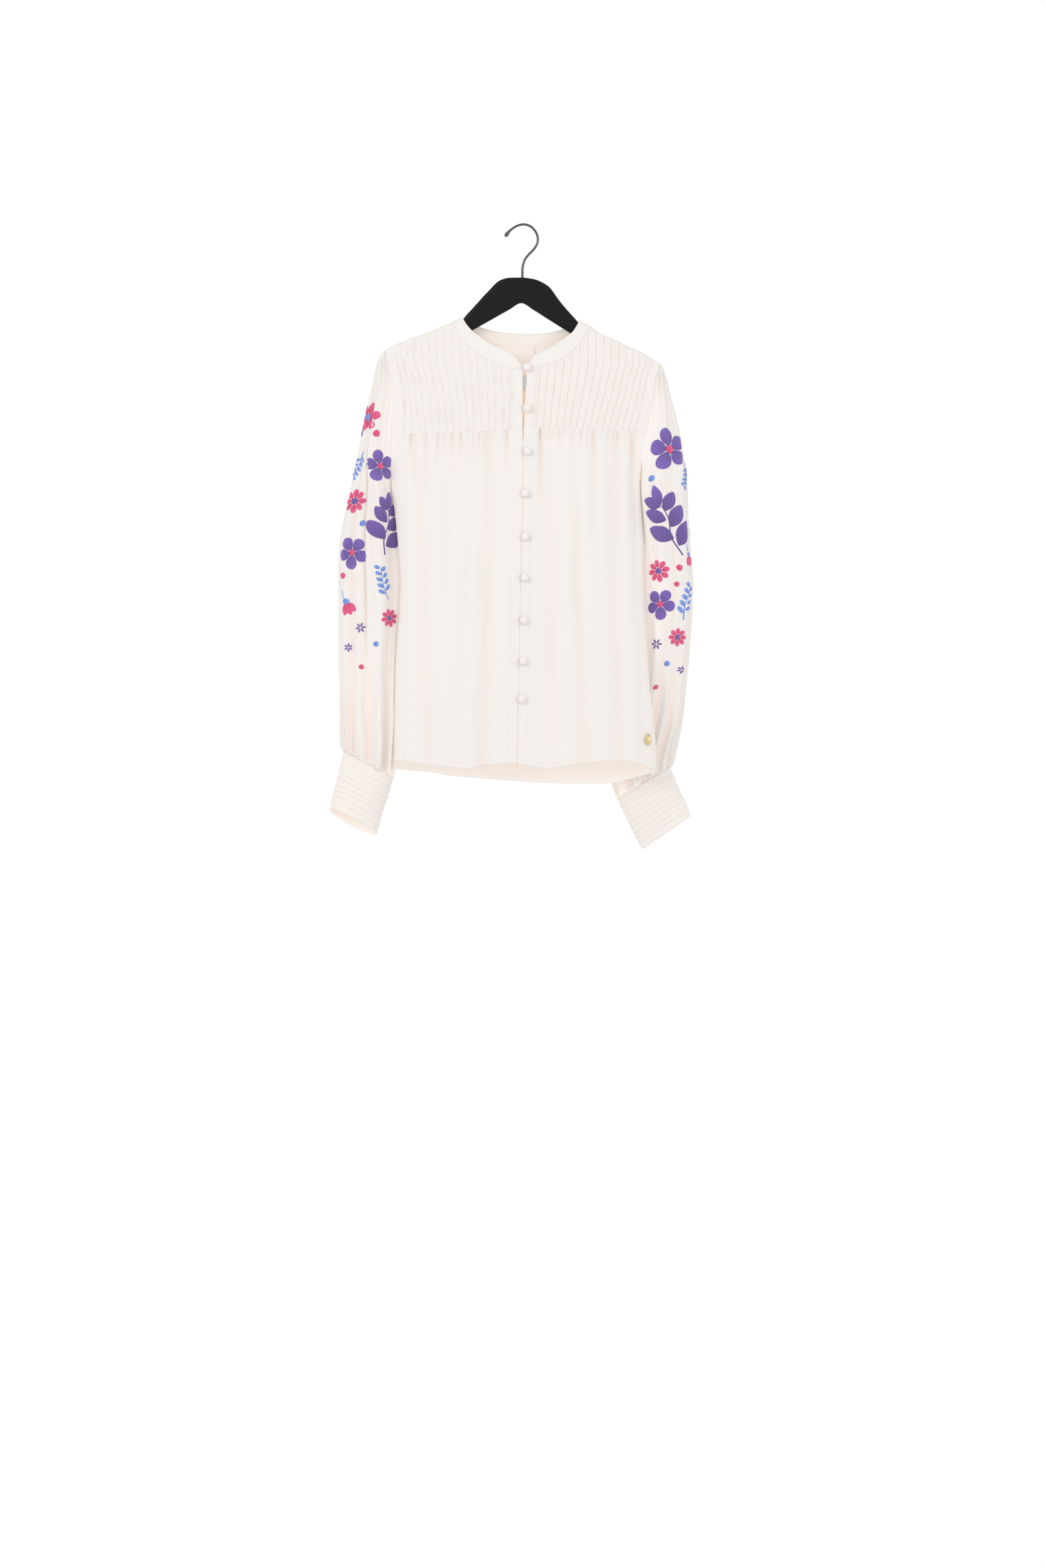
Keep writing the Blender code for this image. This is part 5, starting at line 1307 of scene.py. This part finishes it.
def addStitches():
    found = []

    def sew(piece, *places):
        for place in places:
            stitchRow(piece[0][place], piece[1][place], found)

    def besideClosing(piece, rows):
        across = piece[0][len(piece[0]) // 2, :, 0]
        sew(piece, (rows, int(np.argmin(np.abs(np.abs(across - across[0]) - stitches["inset"])))))

    for side in (right, left):
        sew(yokes[side], (-5, slice(2, -2)))
        besideClosing(yokes[side], slice(6, -2))
        besideClosing(fronts[side], slice(2, -8))
        sew(fronts[side], (-7, slice(1, -2)))
        sew((cuffs[side], facingOf(cuffs[side], cuffs[side] - cuffs[side].mean((0, 1)), True)), -5, 2)
    sew(back, (-3, slice(2, -2)))
    sew(neckBand, (2, slice(2, -2)), (12, slice(2, -2)))
    points = np.array(found).reshape(-1, 3)
    one = [(0, 2, 4), (2, 1, 4), (1, 3, 4), (3, 0, 4), (2, 0, 5), (1, 2, 5), (3, 1, 5), (0, 3, 5)]
    faces = [tuple(6 * k + v for v in face) for k in range(len(found)) for face in one]
    made = addMesh("stitching", points, faces, stitchThread)
    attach(made, "blouse")
    print(f"  {len(found)} stitches")


addStitches()
print("blouse: stitching")

embroidery = {
    "height": 0.00100,
    "scale": 1.18,
    "petalSteps": 15,
    "dyes": {  # toward the middle of a motif, toward its tips
        "violet": ((0.120, 0.056, 0.330), (0.235, 0.118, 0.570)),
        "plum": ((0.110, 0.052, 0.300), (0.190, 0.092, 0.460)),
        "rose": ((0.82, 0.020, 0.145), (1.0, 0.100, 0.310)),
        "sky": ((0.105, 0.235, 0.780), (0.250, 0.460, 1.0))},
    # motif, place round the sleeve and down it in thousandths, size in mm, turn in degrees
    right: mm([("bigBloom", 380, 165, 18, 10), ("berryRose", 190, 205, 4, 0),
        ("bloom", 140, 290, 18.5, 25), ("sprig", 400, 285, 34, 160), ("daisy", 375, 375, 14, 0),
        ("spray", 132, 440, 66, -12), ("berrySky", 290, 435, 3.4, 0), ("bloom", 350, 505, 19, 50),
        ("sprig", 180, 580, 42, 12), ("berryRose", 415, 565, 3.6, 0), ("bud", 390, 625, 15, 200),
        ("daisy", 140, 668, 10.5, 15), ("star", 300, 690, 6.2, 10), ("berrySky", 215, 735, 3, 0),
        ("star", 375, 745, 5, 30), ("berryRose", 290, 790, 2.8, 0), ("bloom", 660, 200, 22, 0),
        ("spray", 840, 340, 58, 30), ("daisy", 640, 370, 15, 20), ("sprig", 740, 460, 40, -20),
        ("bloom", 860, 560, 18, 40), ("berrySky", 600, 520, 4, 0), ("bud", 680, 600, 15, 170),
        ("star", 800, 680, 6, 0), ("berryRose", 620, 700, 3.4, 0), ("star", 700, 770, 5, 15)], 0, 4),
    left: mm([("bloom", 255, 210, 24, 35), ("sprig", 445, 280, 32, 160), ("berrySky", 150, 285, 3.8, 0),
        ("spray", 275, 395, 76, 20), ("bud", 420, 470, 13, 190), ("daisy", 195, 510, 13, 12),
        ("berryRose", 330, 500, 3.6, 0), ("sprig", 385, 585, 44, -14), ("bloom", 215, 595, 18, 60),
        ("berryRose", 310, 545, 3, 0), ("daisy", 335, 680, 10.5, 0), ("star", 205, 690, 6.4, 0),
        ("berrySky", 280, 745, 3.2, 0), ("star", 380, 755, 4.8, 20), ("berryRose", 225, 800, 2.8, 0),
        ("bloom", 700, 230, 23, 10), ("daisy", 860, 300, 15, 0), ("spray", 640, 420, 60, -26),
        ("sprig", 820, 470, 42, 15), ("bud", 720, 570, 16, 180), ("bloom", 850, 610, 17, 30),
        ("berrySky", 600, 600, 4, 0), ("star", 680, 680, 6, 10), ("berryRose", 790, 720, 3.4, 0),
        ("star", 640, 770, 5, 0)], 0, 4),
}


def petalOutline(start, end, width, fullest, point):
    # half outlines up one side and down the other, along the petal's own axis; fullest is where along
    # it the petal is widest, and a larger point makes a sharper tip
    s = (1 - np.cos(np.linspace(0, math.pi, embroidery["petalSteps"]))) / 2
    half = width / 2 * np.where(s < fullest, np.sin(math.pi / 2 * s / fullest) ** 0.8,
                                np.cos(math.pi / 2 * np.clip((s - fullest) / (1 - fullest), 0, 1)) ** point)
    run = mix(start, end, s)
    return np.concatenate([np.stack([run, half], -1), np.stack([run, -half], -1)[-2:0:-1]])


def turned(points, degrees, at=(0, 0)):
    angle = math.radians(degrees)
    spin = np.array([[math.cos(angle), math.sin(angle)], [-math.sin(angle), math.cos(angle)]])
    return points @ spin + at


class Motifs:
    # raised patches of thread laid on one sleeve; a motif's size and turn come from its row
    def __init__(self, side):
        self.side = side
        self.outer, self.facing, self.places, self.down = sleeves[side]
        self.points, self.faces, self.threads, self.dyes = [], [], [], []
        self.count = 0

    def centre(self, place, down):
        column = place * (self.outer.shape[1] - 1)
        row = float(np.argmin(np.abs(self.down[:, int(column)] - down)))
        r, c = int(row), int(column)
        near = self.outer[max(0, r - 8):r + 9, max(0, c - 8):c + 9]
        middle = self.outer[r, max(0, c - 8):c + 9]
        perColumn = np.linalg.norm(middle[-1] - middle[0]) / (len(middle) - 1)
        perRow = np.linalg.norm(near[-1, len(middle) // 2] - near[0, len(middle) // 2]) / (len(near) - 1)
        return column, row, perColumn, perRow

    def onCloth(self, spot, flat):
        column, row, perColumn, perRow = spot
        c = np.clip(column + self.side * flat[:, 0] / perColumn, 0, self.outer.shape[1] - 1.001)
        r = np.clip(row - flat[:, 1] / perRow, 0, self.outer.shape[0] - 1.001)
        i, j = r.astype(int), c.astype(int)
        u, v = (c - j)[:, None], (r - i)[:, None]

        def at(grid):
            return mix(mix(grid[i, j], grid[i, j + 1], u), mix(grid[i + 1, j], grid[i + 1, j + 1], u), v)

        return at(self.outer), unit(at(self.facing))

    def lay(self, spot, flat, heights, threads, shares, dye, faces):
        points, facing = self.onCloth(spot, flat)
        self.points.append(points + facing * np.asarray(heights)[:, None])
        self.faces += [tuple(v + self.count for v in face) for face in faces]
        self.count += len(points)
        self.threads.append(np.asarray(threads))
        first, last = (np.array(part) for part in embroidery["dyes"][dye])
        self.dyes.append(mix(first, last, np.clip(shares, 0, 1)[:, None]))

    def patch(self, spot, outline, degrees, dye, at=(0, 0), chevron=0.0, height=1.0, low=0.0):
        # a filled shape: rings of its outline drawn in toward its middle, and a flat underside
        n = len(outline)
        middle = outline.mean(0)
        rings, heights = [], []
        tall = embroidery["height"] * height
        for share, rise in ((1, -0.35), (1.0, 0.25), (0.95, 0.70), (0.80, 0.92), (0.50, 1.0), (0.20, 1.02)):
            rings.append(middle + (outline - middle) * share)
            heights += [tall * rise + low * (rise > 0)] * n
        own = np.concatenate([*rings, [middle], [middle]])
        heights += [tall * 1.02 + low, -tall * 0.35]
        threads = mix(own[:, 1], np.abs(own[:, 1]) * 0.6 - own[:, 0] * 0.8, chevron)
        shares = (own[:, 0] - own[:, 0].min()) / max(np.ptp(own[:, 0]), 1e-6)
        faces = gridFaces(6, n, 0, True)
        faces += [(5 * n + k, 5 * n + (k + 1) % n, 6 * n) for k in range(n)]
        faces += [((k + 1) % n, k, 6 * n + 1) for k in range(n)]
        self.lay(spot, turned(own, degrees, at), heights, threads, shares, dye, faces)

    def stem(self, spot, path, width, dye):
        path = curved(np.c_[np.asarray(path, float), np.zeros(len(path))], 22)[:, :2]
        run = unit(np.gradient(path, axis=0))
        across = np.stack([-run[:, 1], run[:, 0]], -1)
        thin = width / 2 * np.linspace(1, 0.55, len(path))[:, None]
        parts = [(-1, -0.4), (-0.8, 0.3), (0, 0.75), (0.8, 0.3), (1, -0.4), (0, -0.5)]
        own = np.stack([path + across * thin * part for part, _ in parts], 1)
        heights = np.tile([embroidery["height"] * rise for _, rise in parts], len(path))
        threads = np.tile([part * width / 2 for part, _ in parts], len(path))
        faces = ringFaces(len(path), 6)
        self.lay(spot, own.reshape(-1, 2), heights, threads, np.full(len(threads), 0.4), dye, faces)

    def disc(self, spot, radius, dye, height=1.0, low=0.0, at=(0, 0)):
        turn = tau * np.arange(20) / 20
        edge = radius * (1 + 0.05 * np.sin(3 * turn + radius * 9000))
        outline = np.stack([edge * np.cos(turn), edge * np.sin(turn)], -1)
        self.patch(spot, outline, 20, dye, at, 0, height, low)

    def flower(self, spot, outline, turn, dye, count):
        for k in range(count):
            self.patch(spot, outline, turn + k * 360 / count, dye)

    def leaf(self, spot, size, turn, up, lean, outline, dye, chevron=0.0):
        self.patch(spot, outline, turn + (90 - lean), dye, turned([[0.0, up * size]], turn)[0], chevron)

    def bloom(self, spot, size, turn, dye="violet", heart="rose", petals=5):
        for k in range(petals):
            long, wide = size * (0.97 + 0.05 * math.sin(2.4 * k)), size * (4.1 / petals - 0.12)
            own = petalOutline(size * 0.13, long, wide, 0.60, 0.42)
            self.patch(spot, own, turn + k * 360 / petals, dye)
        self.disc(spot, size * 0.20, heart, 1.3, 0.0002)
        for k in range(7):
            at = turned([[size * 0.30, 0]], turn + 20 + k * 360 / 7)[0]
            self.disc(spot, size * 0.035, "sky", 0.8, 0.0007, at)

    def bigBloom(self, spot, size, turn):
        self.bloom(spot, size, turn, "rose", "sky", 6)

    def daisy(self, spot, size, turn):
        self.flower(spot, petalOutline(size * 0.24, size, size * 0.46, 0.62, 0.5), turn, "rose", 8)
        self.disc(spot, size * 0.27, "violet", 1.2)

    def spray(self, spot, size, turn):
        own = np.array([(0.02, -0.50), (-0.04, -0.20), (0.03, 0.10), (0.0, 0.34)]) * size
        self.stem(spot, turned(own, turn), size * 0.028, "plum")
        for k, up in enumerate((-0.36, -0.24, -0.06, 0.06, 0.20, 0.28)):
            long = size * (0.46 - 0.028 * k)
            own = petalOutline(size * 0.02, long, long * 0.56, 0.48, 0.70)
            self.leaf(spot, size, turn, up, -48 if k % 2 else 48, own, "plum", 0.8)
        tip = petalOutline(0, size * 0.32, size * 0.16, 0.48, 0.75)
        self.leaf(spot, size, turn, 0.32, 0, tip, "violet", 0.8)

    def sprig(self, spot, size, turn):
        own = np.array([(0.05, -0.50), (-0.03, -0.10), (0.02, 0.40)]) * size
        self.stem(spot, turned(own, turn), size * 0.032, "sky")
        for k in range(9):
            own = petalOutline(size * 0.02, size * (0.24 - 0.008 * k), size * 0.105, 0.6, 0.5)
            self.leaf(spot, size, turn, -0.34 + 0.088 * k, 52 if k % 2 else -52, own, "sky")

    def bud(self, spot, size, turn):
        for degrees, wide in ((-26, 0.5), (26, 0.5), (0, 0.55)):
            own = petalOutline(size * 0.1, size * 1.05, size * wide, 0.5, 0.7)
            self.patch(spot, own, turn + 90 + degrees, "rose", height=1.0 if degrees else 1.3)
        self.disc(spot, size * 0.24, "sky", 1.3)
        own = np.array([(0, 0), (0.10, -0.5), (0.02, -1.0)]) * size
        self.stem(spot, turned(own, turn), size * 0.11, "sky")

    def star(self, spot, size, turn):
        self.flower(spot, petalOutline(size * 0.15, size, size * 0.34, 0.5, 0.7), turn, "violet", 6)

    def berryRose(self, spot, size, _):
        self.disc(spot, size, "rose", 1.2)

    def berrySky(self, spot, size, _):
        self.disc(spot, size, "sky", 1.2)


def addEmbroidery(side):
    motifs = Motifs(side)
    for kind, place, down, size, turn in embroidery[side]:
        getattr(motifs, kind)(motifs.centre(place, down), size * embroidery["scale"], turn)
    dyes = np.concatenate(motifs.dyes)
    values = {"thread": np.concatenate(motifs.threads), "dye": np.c_[dyes, np.ones(len(dyes))]}
    name = sided("embroidery", side)
    made = addMesh(name, np.concatenate(motifs.points), motifs.faces, embroideryThread, values)
    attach(made, "blouse")
    print(f"  {name}: {len(made.data.polygons)} faces")


for each in (right, left):
    addEmbroidery(each)
print("blouse: embroidery")

hanger = {
    # x, top z, bottom z, half thickness
    "sections": mm([(-178, -167.2, -176, 3), (-172, -163.8, -185, 4.2), (-150, -155.2, -178.5, 4.6),
        (-113, -142, -164, 4.8), (-96, -138.5, -157, 4.4), (-86, -131, -151, 4.6),
        (-77, -120, -145.8, 5.4), (-68.4, -110.8, -140.8, 6), (-50.4, -91, -130.8, 6),
        (-30.6, -73, -119.6, 6), (-18.9, -70.3, -113, 6), (-3.6, -70.1, -104.6, 6),
        (12.6, -72, -113.6, 6), (32.4, -81.2, -126.2, 6), (48.6, -102, -136.4, 6),
        (57.6, -112.8, -142, 6), (67, -123.2, -148, 5.6), (76.5, -133.6, -153.2, 5),
        (89.1, -142.5, -160, 4.8), (113, -154.5, -173.5, 4.8), (140, -166.5, -187.5, 4.6),
        (164, -178.4, -200, 4.2), (172, -185, -195.5, 3)]),
    "corner": 5.0,
    "sides": 40,
    "steps": 150,
    # the hook's middle line: x, z, wire radius
    "hook": mm([(-25.2, -15, 0.8), (-24.3, -13.5, 2.4), (-22.5, -11, 2.7), (-19.8, -7.8, 1.9),
        (-16.2, -4.5, 1.6), (-9.9, -0.6, 1.6), (-0.9, 1.8, 1.6), (8.1, -0.4, 1.6), (15.3, -7.2, 1.6),
        (18.9, -17, 1.6), (18, -24, 1.6), (13.5, -31.8, 1.6), (7, -38.5, 1.6), (1.6, -45.5, 1.6),
        (-1.3, -54, 1.7), (-2, -69.8, 1.8)]),
}


def addHanger():
    blackPaint = plainFinish("blackPaint", (0.007, 0.007, 0.0075, 1),
                             {"Roughness": 0.40, "Specular IOR Level": 0.16}, (180, 0.00003, (1, 1, 1)))
    gunMetal = plainFinish("gunMetal", (0.13, 0.13, 0.14, 1), {"Roughness": 0.28, "Metallic": 1.0},
                           (300, 0.00002, (1, 1, 0.2)))
    sections, rings = hanger["sections"], []
    turn = tau * (np.arange(hanger["sides"]) + 0.5) / hanger["sides"]
    power = 2 / hanger["corner"]
    up = np.sign(np.sin(turn)) * np.abs(np.sin(turn)) ** power
    out = np.sign(np.cos(turn)) * np.abs(np.cos(turn)) ** power
    first, last = sections[0][0], sections[-1][0]
    for x in np.linspace(first, last, hanger["steps"]):
        top, bottom, half = (float(along(sections, x, column)) for column in (1, 2, 3))
        close = 1 - 0.35 * max(bump(x - first, 0.0015), bump(x - last, 0.0015))
        z = (top + bottom) / 2 + (top - bottom) / 2 * close * up
        rings.append(np.stack([np.full_like(turn, x), half * close * out, z], -1))
    made = addMesh("hangerBody", np.array(rings).reshape(-1, 3), ringFaces(len(rings), hanger["sides"]),
                   blackPaint, sharp=35)
    dress(made, ["hanger"])
    path = curved([(x, 0, z, radius) for x, z, radius in hanger["hook"]], 140)
    made = addTube("hook", path[:, :3], path[:, 3], 20, (0, 1, 0), gunMetal)
    dress(made, ["hanger_hook"])


addHanger()
print("blouse: hanger")

charm = {
    "standoff": 0.0022,
    "drop": 0.0006,
    "thick": 0.0012,
    "eye": 0.0011,
    "outline": [(0, 0.0022), (25, 0.0022), (50, 0.0023), (75, 0.0025), (100, 0.0031), (120, 0.0044),
                (135, 0.0062), (148, 0.0086), (160, 0.0112), (171, 0.0128), (180, 0.0133)],
    # from the eye over the domed front to the rim: share of the way out, share of the thickness
    "profile": [(0, 0.35), (0.06, 0.60), (0.16, 0.50), (0.35, 0.62), (0.60, 0.95), (0.78, 0.80),
                (0.86, 0.45), (0.92, 0.62), (0.97, 0.60), (1.0, 0.25)],
    "sides": 72,
    "thread": 0.0004,
    "threadPath": mm([(0.3, 0), (3.6, 0), (4.3, 0.8), (4.3, 2.6), (3.6, 3.4), (0.3, 3.4)]),  # out, up
}


def addCharm():
    hinge = frame["record"]["behaviour"]["joints"][0]
    at, out = np.array(hinge["pos_m"], float), unit(np.array(hinge["axis"], float))
    across, up = np.array([-out[1], out[0], 0]), np.array([0, 0, 1.0])
    middle = at + out * charm["standoff"] - up * charm["drop"]
    sides, profile = charm["sides"], charm["profile"]
    turn = tau * np.arange(sides) / sides
    edge = along(charm["outline"], np.minimum(np.degrees(turn), 360 - np.degrees(turn)))
    flat = across * np.sin(turn)[:, None] + up * np.cos(turn)[:, None]
    rings = []
    for share, depth in profile + [(share, -min(depth, 0.5)) for share, depth in profile[::-1]]:
        rings.append(middle + out * depth * charm["thick"] + flat * mix(charm["eye"], edge, share)[:, None])
    last = sides * (len(rings) - 1)
    faces = gridFaces(len(rings), sides, 0, True)
    faces += [(last + k, last + (k + 1) % sides, (k + 1) % sides, k) for k in range(sides)]
    gold = plainFinish("brushedGold", (0.78, 0.60, 0.32, 1), {"Roughness": 0.24, "Metallic": 1.0},
                       (500, 0.00002, (1, 1, 1)))
    made = addMesh("charmDrop", np.array(rings).reshape(-1, 3), faces, gold)
    dress(made, ["charm"], "charm")
    path = [at + out * far + up * high for far, high in charm["threadPath"]]
    made = addTube("charmThread", curved(path, 40), charm["thread"], 8, across, stitchThread)
    dress(made, ["charm_loop"])


addCharm()
print("blouse: charm")

# floor, light and camera
studio = {
    "floorZ": -2.0,
    "floorRadius": 1.0,
    "ambient": 0.87,
    "distance": 8.0,
    "middle": (-0.0018, -0.754),
    "frameHeight": 2.1177,
    "sensor": 36,
    "aim": (0, 0, -0.45),
    "lights": [  # name, place, size, power, colour
        ("key", (-2.2, -3.0, 0.9), 1.1, 26, (1, 0.99, 0.98)),
        ("fill", (2.4, -2.6, 0.2), 1.6, 12, (1, 0.98, 0.99))],
}


def addLight(name, place, size, power, colour):
    light = bpy.data.lights.new(name, "AREA")
    light.shape, light.size, light.energy, light.color = "DISK", size, power, colour
    made = bpy.data.objects.new(name, light)
    made.location = place
    made.rotation_euler = (Vector(studio["aim"]) - Vector(place)).to_track_quat("-Z", "Y").to_euler()
    bpy.context.scene.collection.objects.link(made)


def addStudio():
    scene = bpy.context.scene
    scene.view_settings.view_transform = "Standard"
    # a white room, which lights the blouse a little less than it shows, so that the lamps shape the folds
    world = bpy.data.worlds.new("whiteStudio")
    world.use_nodes = True
    tree, background = world.node_tree, world.node_tree.nodes["Background"]
    background.inputs["Color"].default_value = (1, 1, 1, 1)
    seen = tree.nodes.new("ShaderNodeMapRange")
    seen.inputs["To Min"].default_value = studio["ambient"]
    tree.links.new(tree.nodes.new("ShaderNodeLightPath").outputs["Is Camera Ray"], seen.inputs["Value"])
    tree.links.new(seen.outputs["Result"], background.inputs["Strength"])
    scene.world = world
    turn = tau * np.arange(64) / 64
    ring = np.stack([studio["floorRadius"] * np.cos(turn), studio["floorRadius"] * np.sin(turn),
                     np.full(64, studio["floorZ"])], -1)
    pale = plainFinish("paleFloor", (0.93, 0.93, 0.93, 1), {"Roughness": 0.7})
    floor = addMesh("floor", ring, [list(range(64))], pale, smooth=False)
    for light in studio["lights"]:
        addLight(*light)
    camera, sensor = bpy.data.cameras.new("camera"), studio["sensor"]
    camera.sensor_fit, camera.sensor_width, camera.sensor_height = "AUTO", sensor, sensor
    camera.lens = sensor * studio["distance"] / studio["frameHeight"]
    camera.clip_end = 100
    made = bpy.data.objects.new("camera", camera)
    made.location = (studio["middle"][0], -studio["distance"], studio["middle"][1])
    made.rotation_euler = (math.pi / 2, 0, 0)
    scene.collection.objects.link(made)
    scene.camera = made


addStudio()
print("blouse: studio")
